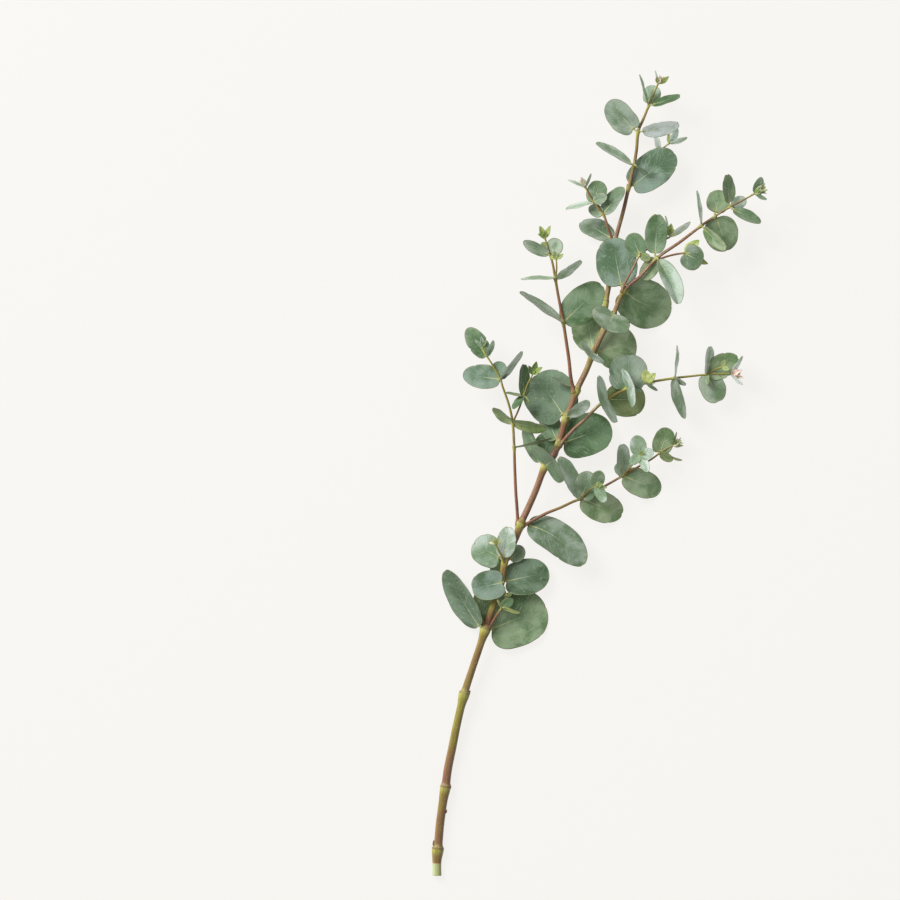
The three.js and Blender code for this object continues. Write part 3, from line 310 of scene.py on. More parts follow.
# Side shoots: the joint, the angle and the heading each starts at, and its wood from there on
SHOOTS = {
    "shoot_d": ("d", 37, 45, [
        (41.4, 182.5, 14.6, 1.7), (45.5, 188.7, 15, 1.5, 1.4, "da"), (48.5, 196, 14.6, 1.2, 1.2, "db"),
    ]),
    "shoot_e2": ("e2", 100, 140, [
        (44.8, 226, 22, 1.4), (42.6, 229.8, 24.5, 1.3), (41, 233.4, 26.5, 1.2, 1.3, "e2a"),
    ]),
    "shoot_e": ("e", 30, 15, [
        (75.6, 254.1, 15.6, 2.1), (86.4, 258.5, 14.8, 2), (94.9, 262.5, 14.2, 1.9),
        (101, 265, 13.8, 1.9, 1.5, "ea"), (111, 270, 13.2, 1.8), (121, 275.5, 12.8, 1.7),
        (130.5, 281, 12.4, 1.7, 1.5, "eb"), (142.5, 288, 12.2, 1.5), (150.5, 292.6, 12.2, 1.4),
        (156.5, 297, 12.4, 1.4, 1.5, "ec"), (162, 300.3, 12.6, 1.2), (165.5, 302.2, 12.8, 1.2, 1.3, "ed"),
    ]),
    "shoot_f2": ("f2", 44, 50, [
        (90.6, 308, 22, 2.4), (96.6, 314.3, 22.6, 2.3), (103.6, 320.4, 23, 2.3), (113, 330, 23, 2.2),
        (119.5, 334.5, 22.8, 2.2, 1.5, "fa"), (133, 342, 22.2, 2, 1.5, "fb"), (138, 343.5, 21.8, 1.9),
        (147, 346, 21.2, 1.8, 1.3, "fc"), (166.5, 349.3, 20, 1.7, 1.5, "fd"), (178, 350.6, 19.3, 1.5),
        (189.3, 351.8, 18.7, 1.5, 1.5, "fe"), (198, 352, 18.4, 1.3), (206, 352.3, 18.2, 1.2, 1.4, "ff"),
        (212, 352.5, 18.2, 1.1),
    ]),
    "shoot_h": ("e", 17, 150, [
        (56, 259, 17.4, 2.3), (55.3, 268, 18.2, 2.2), (54.5, 285, 19.4, 2.1),
        (54, 301, 20.3, 1.9, 1.5, "ha"), (53, 318, 21.2, 1.8, 1.6, "hb"), (50.5, 330, 21.8, 1.6),
        (46, 343, 22.3, 1.5), (44.3, 348.5, 22.5, 1.4, 1.5, "hc"), (38.5, 359, 22.8, 1.3),
        (35, 364.5, 23, 1.2, 1.4, "hd"), (31.5, 371, 23.4, 1, 1.3, "he"),
    ]),
    "shoot_k": ("f4", 37, 140, [
        (93.8, 348.5, 23.8, 2.6), (92.3, 362, 24.8, 2.4), (90.2, 376, 25.6, 2.3),
        (88.2, 388.7, 26.2, 2.2, 1.5, "ka"), (84.7, 407.4, 27, 2), (82.7, 419, 27.5, 1.9, 1.6, "kb"),
        (80.5, 430.5, 27.9, 1.6), (78.6, 436, 28.1, 1.5, 1.5, "kc"), (77, 442.4, 28.4, 1.3),
        (75.4, 447, 28.6, 1.2, 1.4, "kd"),
    ]),
    "shoot_r2": ("r2", 64, 90, [
        (132.2, 417, 27.6, 1.6), (136.5, 425, 28.2, 1.5), (142, 435.4, 27.4, 1.5, 1.5, "ra"),
        (148, 439.8, 23.8, 1.3), (157, 444.6, 21.8, 1.2), (163, 448, 21.6, 1.2, 1.3, "rb"),
    ]),
    "shoot_r3": ("r3", -17, 8, [
        (162, 434.6, 24.8, 1.5), (173.5, 436.7, 24.2, 1.4, 1.4, "rc"), (178, 436, 24, 1.2),
    ]),
    "shoot_l1": ("l1", 17, 130, [
        (119.9, 454, 22.2, 1.9), (116.2, 464.1, 23.2, 1.7, 1.5, "la"), (109.5, 472.5, 24, 1.5, 1.5, "lb"),
        (103.6, 483, 24.8, 1.3, 1.4, "lc"), (102, 486, 25, 1.1),
    ]),
    "shoot_l2": ("l2", -90, 30, [
        (140, 490, 15.6, 1.3), (147, 498.5, 14, 1.3), (156, 508.5, 13.6, 1.2, 1.4, "ld"),
        (163, 514, 15.6, 1.1, 1.4, "le"),
    ]),
}
# Twigs on side shoots, by the joint they grow from
TWIGS = {
    "ea": [(106, 270, 17, 1.2), (111.5, 274, 20, 1.1, 1.3, "eaa"), (114.5, 275.5, 22, 1)],
    "eb": [(136, 287.5, 16, 1.2), (142.5, 295.5, 20, 1.1, 1.4, "eba")],
    "fe": [(194, 355, 21, 1.1), (199.5, 357, 23, 1, 1.3, "fea")],
    "hb": [
        (57.5, 328, 23.6, 1.3), (60.5, 336.5, 25, 1.2, 1.4, "hba"), (63.5, 345, 26, 1.1),
        (67, 352, 27, 1, 1.2, "hbb"),
    ],
    "kb": [(83.6, 425, 29.6, 1.2), (83.4, 432.5, 31.2, 1.1, 1.3, "kba")],
}
# Growing tips of the two forks: the joint and the wood
TIPS = {
    "tip_left": ("l5", [(154.8, 555.4, 26.6, 1.2, 1.3, "lt"), (155.6, 557.5, 26.8, 1)]),
    "tip_right": ("r7", [(222.4, 478.4, 29.4, 1.2, 1.3, "rt"), (224.6, 479.6, 29.6, 1)]),
}

# Leaves on shoots, twigs and tips, by their joint, in rows like those above
LEAVES = {
    "da": [
        (12, -16, 10, 74, 13, 9, OVAL, 0, 8, YOUNG), (24, 122, 24, 70, 7, 5, OVAL, 0, 8, YOUNG),
        (37, 42, 24, 10, 10.5, 7.5, OVAL, 0, 10, DARK),
    ],
    "db": [
        (0, 42, 6, 40, 5.5, 3.4, POINTED, 0, 12, FRESH), (0, 100, 2, -40, 5, 3.2, POINTED, 0, 12, YOUNG),
    ],
    "e2a": [
        (0, 170, 20, 40, 4.8, 2.6, POINTED, 0, 12, CREAM), (0, 30, 30, 30, 4.8, 2.8, POINTED, 0, 12, YOUNG),
        (0, 112, 40, 0, 6, 2.8, POINTED, 0, 14, CREAM), (0, 75, 45, 30, 5.5, 2.8, POINTED, 0, 14, YOUNG),
    ],
    "ea": [
        (24, 117, 12, 58, 33, 22, OVAL, -6, 8, HAZE), (-30, 66, 10, 0, 20, 18, ROUND, 0, 6, LIGHT),
        (-30, -20, -20, 0, 34, 22, OVAL, -8, 6, SAGE),
    ],
    "eb": [
        (-17, 92, 6, 54, 22, 18, ROUND, 0, 8, HAZE), (0, 122, -12, 0, 9, 7, OVAL, 0, 6, LIGHT),
        (-37, -22, -18, 0, 31, 20, OVAL, -10, 6, GREEN),
    ],
    "ec": [
        (0, 72, 8, 10, 18, 15, ROUND, -6, 8, SAGE), (24, -30, 4, 40, 10, 8, OVAL, 0, 10, OLIVE),
        (30, -18, 22, 78, 17, 9, LONG, 0, 8, FRESH),
    ],
    "ed": [
        (0, 75, 20, 74, 10, 5, LONG, 0, 8, OLIVE), (0, 30, 20, 20, 7.5, 3.4, POINTED, 16, 20, CREAM),
        (0, 5, -10, 30, 7, 3.2, POINTED, 16, 20, CREAM), (0, 55, 48, 0, 6, 3, POINTED, 0, 20, OLIVE),
    ],
    "eaa": [
        (37, 74, 26, 0, 12, 10, OVAL, 0, 8, LIGHT), (37, -62, 4, 0, 13, 8, OVAL, 0, 8, HAZE),
        (0, 20, 50, 0, 7, 4, POINTED, 0, 14, YOUNG), (0, -8, 20, 30, 8, 4, POINTED, 0, 14, CREAM),
    ],
    "eba": [
        (24, 103, 22, 0, 15, 12, OVAL, 0, 8, PALE), (24, 222, 14, 0, 10, 7, OVAL, 0, 8, PALE),
        (17, -68, 10, 0, 13, 7, OVAL, 0, 8, PALE), (17, 15, 22, 0, 10, 8, OVAL, 0, 8, PALE),
        (0, 60, 60, 0, 6, 3.4, POINTED, 0, 14, YOUNG),
    ],
    "fa": [(90, 200, 74, 0, 28, 35, ROUND, 4, 8, HAZE), (-64, 0, -34, 0, 32, 24, ROUND, 0, 6, OLIVE)],
    "fb": [
        (-30, 86, -8, 0, 24, 27, ROUND, 0, 6, GREY), (90, 15, 78, 0, 23, 28, ROUND, 0, 8, PALE),
        (24, -4, 10, 70, 11, 7, OVAL, 0, 8, HAZE),
    ],
    "fc": [
        (30, 100, 30, 0, 10, 7, OVAL, 0, 12, YOUNG), (30, 48, 40, 0, 11, 6, POINTED, 0, 12, YOUNG),
        (0, -34, 10, 66, 9, 6, OVAL, 0, 8, LIGHT),
    ],
    "fd": [
        (17, 87, 12, 80, 23, 15, LONG, 0, 8, PALE), (0, -76, -6, 66, 29, 18, OVAL, 0, 8, GREY),
        (53, -28, 30, 60, 10, 7, OVAL, 0, 8, LIGHT),
    ],
    "fe": [
        (24, 86, 10, 62, 20, 15, OVAL, 0, 8, PALE), (-17, -66, -10, 0, 21, 18, ROUND, -4, 6, LIGHT),
        (-30, 27, -6, 0, 25, 17, OVAL, 0, 6, SAGE), (64, -86, 24, 60, 8, 6, OVAL, 0, 8, SAGE),
    ],
    "ff": [
        (17, 58, 16, 70, 15, 9, LONG, 0, 8, FROST), (0, -42, 8, 72, 11, 7, LONG, 0, 8, PALE),
        (0, 20, 34, 20, 10, 4.4, POINTED, 14, 20, ROSE), (0, -14, -4, 20, 9, 4, POINTED, 14, 20, CREAM),
    ],
    "fea": [(0, 70, 30, 10, 6.5, 4, POINTED, 0, 14, FRESH), (0, -20, 26, -10, 6, 4, POINTED, 0, 14, FRESH)],
    "ha": [(24, 14, 20, 80, 28, 11, OVAL, 0, 8, OLIVE)],
    "hb": [(12, 142, 6, -62, 17, 13, OVAL, 0, 8, OLIVE), (64, -12, 22, 56, 25, 14, OVAL, -6, 10, FRESH)],
    "hc": [
        (0, 172, 2, 18, 26, 18, OVAL, -4, 6, BLUE), (17, 53, 10, 70, 25, 14, OVAL, 0, 8, PALE),
        (-37, 100, -16, 0, 13, 11, ROUND, 0, 4, BLUE),
    ],
    "hd": [(-12, 124, 4, 0, 24, 14, OVAL, -6, 8, DEEP), (17, 70, 14, 60, 12, 8, OVAL, 0, 8, PALE)],
    "he": [
        (0, 96, 20, 20, 8, 4, POINTED, 8, 20, PALE), (0, 130, 16, -20, 7.5, 3.6, POINTED, 8, 20, HAZE),
        (0, 62, 34, 0, 7, 3.4, POINTED, 8, 20, SAGE),
    ],
    "hba": [
        (-24, 88, -8, 50, 23, 13, OVAL, 0, 8, DARK), (0, 170, 10, 74, 13, 8, OVAL, 0, 8, OLIVE),
        (30, 232, 16, 50, 12, 8, OVAL, 0, 8, DARK), (0, -52, 4, 40, 6, 4, OVAL, 0, 8, FRESH),
    ],
    "hbb": [
        (0, 74, 20, 20, 10, 5, POINTED, 8, 16, FRESH), (0, 36, 24, -20, 9, 4.4, POINTED, 8, 16, YOUNG),
        (0, 118, 34, 20, 8, 4, POINTED, 8, 16, FRESH),
    ],
    "ka": [(-30, 44, -17, 6, 39, 24, OVAL, 0, 4, DEEP), (30, 146, 10, 74, 37, 23, OVAL, 0, 8, LIGHT)],
    "kb": [(17, 35, 8, 66, 22, 14, OVAL, 0, 8, FROST), (17, 182, 6, 78, 24, 14, OVAL, 0, 8, HAZE)],
    "kc": [
        (6, 153, 4, -52, 20, 13, OVAL, 0, 8, LIGHT), (-17, 58, -6, 0, 12, 12, ROUND, 0, 6, LIGHT),
        (-44, 120, -18, 0, 10, 7, OVAL, 0, 4, OLIVE),
    ],
    "kd": [
        (0, 114, 18, 20, 10, 5, POINTED, 10, 18, YOUNG), (0, 66, 20, -20, 10, 4.6, POINTED, 10, 18, YOUNG),
        (0, 92, 48, 0, 8, 4, POINTED, 10, 18, YOUNG), (0, 150, 20, 40, 6, 3, POINTED, 10, 18, YOUNG),
    ],
    "kba": [
        (0, 100, 34, 0, 6.5, 4, POINTED, 0, 16, FRESH), (0, 36, 18, 0, 6, 3.4, POINTED, 0, 16, FRESH),
        (0, 160, 16, 0, 4.5, 3, POINTED, 0, 16, YOUNG),
    ],
    "ra": [(-37, 113, -3, 0, 16, 14, ROUND, 0, 4, DARK), (0, -24, -4, 0, 7.5, 6, OVAL, 0, 6, OLIVE)],
    "rb": [
        (17, 36, 12, 60, 18, 9, LONG, 0, 10, FROST), (0, 84, 24, 0, 10, 5, POINTED, 0, 18, YOUNG),
        (0, 60, 44, 0, 8, 4, POINTED, 0, 18, YOUNG), (12, 104, 30, 76, 17, 7, LONG, 0, 8, PALE),
    ],
    "rc": [
        (64, -28, 12, 20, 14, 19, ROUND, 0, 8, GREY), (53, 42, 22, 0, 14, 8, POINTED, 0, 14, YOUNG),
        (-24, -24, -10, 40, 18, 8, POINTED, 0, 10, YOUNG),
    ],
    "la": [(-17, 52, 2, -46, 23, 16, OVAL, 0, 8, GREY), (-44, 152, -12, 0, 11, 9, OVAL, 0, 4, LIGHT)],
    "lb": [
        (17, 195, 10, 70, 20, 11, OVAL, 0, 8, HAZE), (-24, 74, -4, 0, 15, 14, ROUND, 0, 6, LIGHT),
        (53, 24, 24, 0, 11, 8, OVAL, 0, 10, LIGHT),
    ],
    "lc": [
        (12, 158, 10, 66, 13, 6, OVAL, 0, 8, PALE), (12, 68, 12, 70, 10, 6, OVAL, 0, 8, FROST),
        (0, 116, 20, 0, 8, 4, POINTED, 10, 20, ROSE),
    ],
    "ld": [(17, 106, 12, 50, 12, 7, OVAL, 0, 8, FROST)],
    "le": [
        (0, 60, 16, 50, 12, 8, POINTED, 0, 16, FROST), (12, 19, 10, 66, 13, 8, LONG, 0, 8, FROST),
        (0, 98, 34, 20, 8, 4, POINTED, 0, 16, YOUNG),
    ],
    "lt": [
        (0, 104, 12, 70, 9, 5, LONG, 0, 8, FROST), (0, 34, 10, 36, 8.5, 5, POINTED, 0, 14, YOUNG),
        (0, 72, 30, 0, 6, 2.8, POINTED, 10, 20, ROSE), (0, 118, 48, 0, 6, 2.6, POINTED, 10, 20, YOUNG),
        (0, 55, -16, 0, 6, 2.8, POINTED, 10, 20, ROSE),
    ],
    "rt": [
        (0, 68, 12, 36, 12, 8, OVAL, 0, 8, HAZE), (0, -28, 6, 60, 9, 5.5, LONG, 0, 8, PALE),
        (0, 48, 26, 0, 8, 3.4, POINTED, 12, 20, CREAM), (0, 16, 10, 0, 8.5, 3.4, POINTED, 12, 20, CREAM),
        (0, 32, 56, 0, 7, 3, POINTED, 12, 20, YOUNG),
    ],
}

# Dormant buds on the bare wood: y up the stem, side 1 left or -1 right, length, width
BUDS = [(22.2, 1, 5.5, 2.8), (17.2, -1, 4, 2.6), (45.5, -1, 3.4, 2), (62.5, -1, 4.2, 2.6),
        (129, -1, 5.2, 3), (126.5, 1, 3.6, 2.4)]
BUD_RINGS = 14
BUD_SIDES = 12

# Growing tips crowded with young scales: the joint they grow from, their length, their colour
TIP_BUDS = {"lt": (6, ROSE), "rt": (10, CREAM), "ff": (8, ROSE), "ed": (8, CREAM), "lc": (6, ROSE),
            "eaa": (5, CREAM), "kd": (6, YOUNG), "fc": (6, YOUNG), "hbb": (5, YOUNG), "e2a": (5, YOUNG)}

# Their scales, from the inmost to the outmost: how far one leans out, in degrees, and is shorter
SCALES = 8
GOLDEN_ANGLE = 2.4
SCALE_LEAN, MORE_LEAN = 10, 28
SCALE_LIFT, SCALE_ROLL = 8, 70
SCALE_SHORTENING = 0.35
SCALE_WIDTH_SHARE = 0.42
SCALE_ARCH, SCALE_FOLD = -14, 26


class Shape:
    """The points, faces and surface values of one piece, gathered from lofts."""

    def __init__(self):
        self.points, self.faces, self.slots = [], [], []
        self.values = {"at": [], "rel": [], "tint": []}
        self.count = 0

    def add_loft(self, rings, at, rel, tint, slot):
        """A closed body through rings of points, each ring closed, with a fan at each end."""
        rows, sides = rings.shape[:2]
        points = closed_ends(rings)
        a = (np.arange(rows - 1)[:, None] * sides + np.arange(sides)).reshape(-1)
        b = (np.arange(rows - 1)[:, None] * sides + (np.arange(sides) + 1) % sides).reshape(-1)
        faces = np.stack([a, b, b + sides, a + sides], axis=1).tolist()
        last = (rows - 1) * sides
        first_end, last_end = rows * sides, rows * sides + 1
        for k in range(sides):
            after = (k + 1) % sides
            faces.append([first_end, after, k])
            faces.append([last_end, last + k, last + after])
        if signed_volume(points, faces) < 0:
            faces = [face[::-1] for face in faces]
        self.faces += [[index + self.count for index in face] for face in faces]
        self.slots += [slot] * len(faces)
        self.points.append(points)
        for key, grid in (("at", at), ("rel", rel), ("tint", tint)):
            self.values[key].append(closed_ends(np.broadcast_to(grid, rings.shape)))
        self.count += len(points)

    def to_object(self, name, materials):
        points = np.vstack(self.points)
        mesh = bpy.data.meshes.new(name)
        mesh.from_pydata(((points + np.array(CUT_END)) * MM).tolist(), [], self.faces)
        for material in materials:
            mesh.materials.append(material)
        mesh.polygons.foreach_set("material_index", self.slots)
        for key, parts in self.values.items():
            attribute = mesh.attributes.new(key, "FLOAT_VECTOR", "POINT")
            attribute.data.foreach_set("vector", np.vstack(parts).astype(np.float32).ravel())
        mesh.shade_smooth()
        mesh.update()
        return placed(name, mesh)


def placed(name, data):
    """A new object in the scene."""
    thing = bpy.data.objects.new(name, data)
    bpy.context.scene.collection.objects.link(thing)
    return thing


def closed_ends(grid):
    """A grid's points in one list, then the middle of its first row and of its last."""
    return np.vstack([grid.reshape(-1, 3), grid[[0, -1]].mean(axis=1)])


def signed_volume(points, faces):
    total = 0.0
    for face in faces:
        corner = points[face[0]]
        for i in range(1, len(face) - 1):
            total += np.dot(corner, np.cross(points[face[i]], points[face[i + 1]]))
    return total


def bell(x):
    """A smooth hump, 1 at 0 and next to nothing from 2 on."""
    return np.exp(-(x ** 2))


def circles(centres, radii, angle, side, top):
    """Rings of points round centres, with a radius, a side and a top direction for each."""
    return (centres[:, None] + (radii * np.cos(angle))[..., None] * side
            + (radii * np.sin(angle))[..., None] * top)


def linear(colour):
    """Linear light values of a colour given as seen on screen, 0 to 255."""
    shares = [value / 255 for value in colour]
    return [v / 12.92 if v <= 0.04045 else ((v + 0.055) / 1.055) ** 2.4 for v in shares]


# Wood

def station(row):
    swelling, joint = row[4:] or (1, None)
    return {"centre": Vector(row[:3]), "radius": row[3] / 2, "swelling": swelling, "joint": joint}


def stations_of(rows):
    return [station(row) for row in rows]


def tangent_at(stations, i):
    before = stations[max(i - 1, 0)]["centre"]
    after = stations[min(i + 1, len(stations) - 1)]["centre"]
    return (after - before).normalized()


def find_joints(stations):
    """Every joint by name: its centre, swollen radius and the wood's direction there."""
    return {
        here["joint"]: {
            "centre": here["centre"],
            "radius": here["radius"] * here["swelling"],
            "tangent": tangent_at(stations, i),
        }
        for i, here in enumerate(stations) if here["joint"]
    }


def start_direction(joint, start, heading):
    """The direction square to the wood in which something starts out from a joint."""
    angle = math.radians(heading)
    tangent = joint["tangent"]
    side = Vector((math.cos(angle), math.sin(angle), 0))
    side = (side - tangent * side.dot(tangent)).normalized()
    top = (UP - tangent * UP.dot(tangent)).normalized()
    side = (side - top * side.dot(top)).normalized()
    turn = math.radians(start)
    return side * math.cos(turn) + top * math.sin(turn)


def smooth_line(stations, step):
    """Points along a smooth curve through the stations, the distance run and the plain radius."""
    centres = [here["centre"] for here in stations]
    spans = [(b - a).length for a, b in zip(centres, centres[1:])]
    marks = np.concatenate([[0], np.cumsum(spans)])
    slopes = []
    for i in range(len(centres)):
        low, high = max(i - 1, 0), min(i + 1, len(centres) - 1)
        slopes.append((centres[high] - centres[low]) / (marks[high] - marks[low]))
    points, radii = [], []
    for i, span in enumerate(spans):
        count = max(2, math.ceil(span / step))
        for k in range(count + (i == len(spans) - 1)):
            u = k / count
            points.append(hermite(centres[i], slopes[i] * span, centres[i + 1], slopes[i + 1] * span, u))
            radii.append(stations[i]["radius"] * (1 - u) + stations[i + 1]["radius"] * u)
    points = np.array(points)
    run = np.concatenate([[0], np.cumsum(np.linalg.norm(np.diff(points, axis=0), axis=1))])
    return points, run, np.array(radii)


def hermite(start, start_slope, end, end_slope, u):
    return (start * (2 * u ** 3 - 3 * u ** 2 + 1) + start_slope * (u ** 3 - 2 * u ** 2 + u)
            + end * (3 * u ** 2 - 2 * u ** 3) + end_slope * (u ** 3 - u ** 2))


def along_line(points, first_side):
    """Side and top directions at each point of a line, carried along it without a twist."""
    steps = np.gradient(points, axis=0)
    tangents = [Vector(step).normalized() for step in steps]
    side = first_side - tangents[0] * first_side.dot(tangents[0])
    sides = [side.normalized()]
    for before, here in zip(tangents, tangents[1:]):
        turned = before.rotation_difference(here) @ sides[-1]
        sides.append((turned - here * turned.dot(here)).normalized())
    tops = [tangent.cross(side) for tangent, side in zip(tangents, sides)]
    return np.array(sides), np.array(tops)


def add_wood(shape, stations, sides, step, slot, redness, peeled=0, root_flare=0):
    """A stem that flares towards each joint and draws in just past it."""
    points, run, radii = smooth_line(stations, step)
    radii = radii * (1 + root_flare * bell(run / ROOT_FLARE_REACH))
    scar, node = 0 * run, 0 * run
    for here in (here for here in stations if here["joint"]):
        nearest = int(np.argmin(np.linalg.norm(points - np.array(here["centre"]), axis=1)))
        away = run[nearest] - run
        reach = np.where(away > 0, FLARE_BELOW, FLARE_ABOVE) * here["radius"]
        swelling = NODE_BOOST * (here["swelling"] - 1)
        ring = bell((away + SCAR_PLACE) / SCAR_WIDTH)
        radii = radii * (1 + swelling * bell(away / reach) + SCAR_RISE * ring)
        scar = np.maximum(scar, ring)
        node = np.maximum(node, bell((run - run[nearest] + NODE_SHIFT) / NODE_REACH))
    side_dirs, top_dirs = along_line(points, UP.cross(Vector(points[1] - points[0])))
    angle = 2 * np.pi * np.arange(sides) / sides
    ribbed = radii[:, None] * (1 + WOOD_RIBS * np.sin(3 * angle + run[:, None] / RIB_TURN_LENGTH))
    rings = circles(points, ribbed, angle, side_dirs[:, None], top_dirs[:, None])
    rings[..., 2] = np.maximum(rings[..., 2], 0)
    at = np.stack([ribbed * np.cos(angle), ribbed * np.sin(angle),
                   np.broadcast_to(run[:, None], ribbed.shape)], axis=-1)
    red = np.interp(run if root_flare else points[:, 1], *zip(*redness))
    bare = np.clip((peeled - run) / PEELED_EDGE + 0.5, 0, 1) if peeled else 0 * run
    rel = np.stack([red, bare, node], axis=-1)[:, None]
    shape.add_loft(rings, at, rel, scar[:, None, None], slot)


def add_bud(shape, y, side, length, width):
    """A pointed bud pressed against the stem."""
    rows = stations_of(MAIN_AXIS)
    after = next(i for i, here in enumerate(rows) if here["centre"].y > y)
    low, high = rows[after - 1], rows[after]
    share = (y - low["centre"].y) / (high["centre"].y - low["centre"].y)
    tangent = (high["centre"] - low["centre"]).normalized()
    outward = Vector((-tangent.y, tangent.x, 0)).normalized() * side
    centre = low["centre"].lerp(high["centre"], share) + outward * low["radius"]
    s = (1 - np.cos(np.linspace(0.02, 0.98, BUD_RINGS) * np.pi)) / 2
    angle = 2 * np.pi * np.arange(BUD_SIDES) / BUD_SIDES
    radii = np.sin(np.pi * s ** 0.7) ** 0.8 * (1 - 0.35 * s) * width / 2
    lean = outward * 0.25 + tangent
    spine = np.array(centre) + (s[:, None] - 0.5) * length * np.array(lean.normalized())
    rings = circles(spine, radii[:, None], angle, np.array(outward), np.array(UP))
    shape.add_loft(rings, rings - np.array(centre), (BUD_RED, 0, 0), (0, 0, 0), 0)


# Blades

def read_leaf(row):
    names = ("start", "heading", "pitch", "roll", "length", "width", "outline", "arch", "fold",
             "colour", "sweep")
    return {"sweep": 0, **dict(zip(names, row))}


def half_width_share(outline, s):
    """Half width at a share s of the way from base to tip, as a share of the widest."""
    power, skew, _ = outline
    across = np.abs(2 * s ** skew - 1)
    return np.maximum(1 - across ** power, 0) ** (1 / power)


def arc(length, bend, s):
    """Where a midrib of this length, bending evenly by an angle, has got to: along and aside."""
    if abs(bend) < 1e-6:
        return length * s, 0 * s
    return length * np.sin(bend * s) / bend, length * (1 - np.cos(bend * s)) / bend


def blade_grid(leaf):
    """Places along the blade, 0 to 1, and across it, -1 to 1, with a column close inside each edge."""
    rows, columns = next(grid[1:] for grid in BLADE_GRIDS if leaf["length"] > grid[0])
    crowded = (1 - np.cos(np.pi * np.arange(rows + 1) / rows)) / 2
    even = np.linspace(0, 1, rows + 1)
    along = np.clip(CROWDED_SHARE * crowded + (1 - CROWDED_SHARE) * even, 0, LAST_ROW)
    edge = 1 - EDGE_COLUMN / (leaf["width"] / 2)
    inner = np.linspace(-1, 1, columns) * min(edge, EDGE_LIMIT)
    return along[:, None], np.concatenate([[-1], inner, [1]])[None, :]


def blade_surface(leaf, petiole, chance):
    """The blade's middle surface in its own frame, and each point's flat place on the leaf."""
    s, t = blade_grid(leaf)
    length, width, lobe = leaf["length"], leaf["width"], leaf["outline"][2]
    arch, fold, sweep = (math.radians(leaf[key]) for key in ("arch", "fold", "sweep"))
    half = np.maximum(half_width_share(leaf["outline"], s) * width / 2, LEAST_HALF_WIDTH)
    back = lobe * half * t ** 2 * (1 - s) ** 3
    half = half * uneven_edge(leaf, s, t, chance)
    half[0] = min(PETIOLE_HALF_WIDTH, width / 8)
    along, rise = arc(length, arch, s)
    share, aside = arc(length, sweep, s)
    reach = np.where(s > 0, share / (length * np.maximum(s, 1e-9)), 1)
    depth = half * (np.sqrt(t ** 2 + 0.01) - 0.1) * math.sin(fold)
    wave = width * RIPPLE * chance.uniform(0.6, 1.2)
    phases = np.where(t > 0, chance.uniform(0, 6), chance.uniform(0, 6))
    depth = depth + wave * t ** 2 * np.sin(2 * np.pi * RIPPLE_WAVES * s + phases) * np.sin(np.pi * s)
    depth = depth + swells(s * length, half * t, width, chance) * np.sin(np.pi * s) ** 0.5
    v = half * t * math.cos(fold)
    x = along * reach - back + petiole
    if length > NOTCHED_LEAF and chance.random() < NOTCH_CHANCE:
        x = x - NOTCH_DEPTH * (bell(v / NOTCH_WIDTH) * bell((1 - s) * length / NOTCH_LENGTH))
    surface = np.stack([
        x - np.sin(sweep * s) * v - np.sin(arch * s) * depth,
        aside + np.cos(sweep * s) * v,
        rise + np.cos(arch * s) * depth,
    ], axis=-1)
    flat = np.stack([s * length - back, np.broadcast_to(half * t, x.shape)], axis=-1)
    return surface, flat, s, t


def uneven_edge(leaf, s, t, chance):
    """How far each side of the outline strays from the smooth one, and its small nicks."""
    factor = np.ones(np.broadcast_shapes(s.shape, t.shape))
    for side in (-1, 1):
        phases = [chance.uniform(0, 6) for _ in EDGE_WAVES]
        stray = 1 + chance.uniform(-SIDE_STRAY, SIDE_STRAY)
        for (height, turns), phase in zip(EDGE_WAVES, phases):
            stray = stray + height * np.sin(turns * s + phase)
        if leaf["length"] > NOTCHED_LEAF and chance.random() < NICK_CHANCE:
            place = chance.uniform(*NICK_PLACES)
            depth = chance.uniform(*NICK_DEPTHS) / (leaf["width"] / 2)
            stray = stray - depth * bell((s - place) * leaf["length"] / NICK_LENGTH)
        factor = np.where(side * t > 0, stray, factor)
    return 1 + (factor - 1) * np.minimum(s * 12, 1)


def swells(u, v, width, chance):
    """Soft rises and dips of a blade, most of them along its side veins."""
    total = 0
    for size in SWELL_LENGTHS:
        angle, phase = chance.uniform(-0.9, 0.9), chance.uniform(0, 6)
        across = (u * math.cos(angle) + np.abs(v) * math.sin(angle)) / (width * size)
        total = total + SWELL * width * size * np.sin(2 * np.pi * across + phase)
    return total


def edge_distance(flat):
    """How far each flat point lies from the blade's outline."""
    outline = np.vstack([flat[:, 0], flat[::-1, -1]])
    start, end = outline[:-1], outline[1:]
    span = end - start
    points = flat.reshape(-1, 1, 2)
    share = ((points - start) * span).sum(-1) / np.maximum((span ** 2).sum(-1), 1e-9)
    nearest = start + np.clip(share, 0, 1)[..., None] * span
    return np.linalg.norm(points - nearest, axis=-1).min(axis=1).reshape(flat.shape[:2])


def leaf_matrix(leaf, root):
    turn = (Matrix.Rotation(math.radians(leaf["heading"]), 4, "Z")
            @ Matrix.Rotation(-math.radians(leaf["pitch"]), 4, "Y")
            @ Matrix.Rotation(math.radians(leaf["roll"]), 4, "X"))
    return Matrix.Translation(root) @ turn


def pressed(height, lowest):
    """A leaf that would pass through the surface lies pressed flat on it instead."""
    return lowest + PRESSED_SPREAD * np.logaddexp(0, (height - lowest) / PRESSED_SPREAD)


def grid_normals(grid):
    normals = np.cross(np.gradient(grid, axis=0), np.gradient(grid, axis=1))
    return normals / np.maximum(np.linalg.norm(normals, axis=-1, keepdims=True), 1e-12)


def ringed(upper, lower):
    """A row's upper points from left to right and its lower ones back, as one ring."""
    return np.concatenate([upper, lower[:, -2:0:-1]], axis=1)


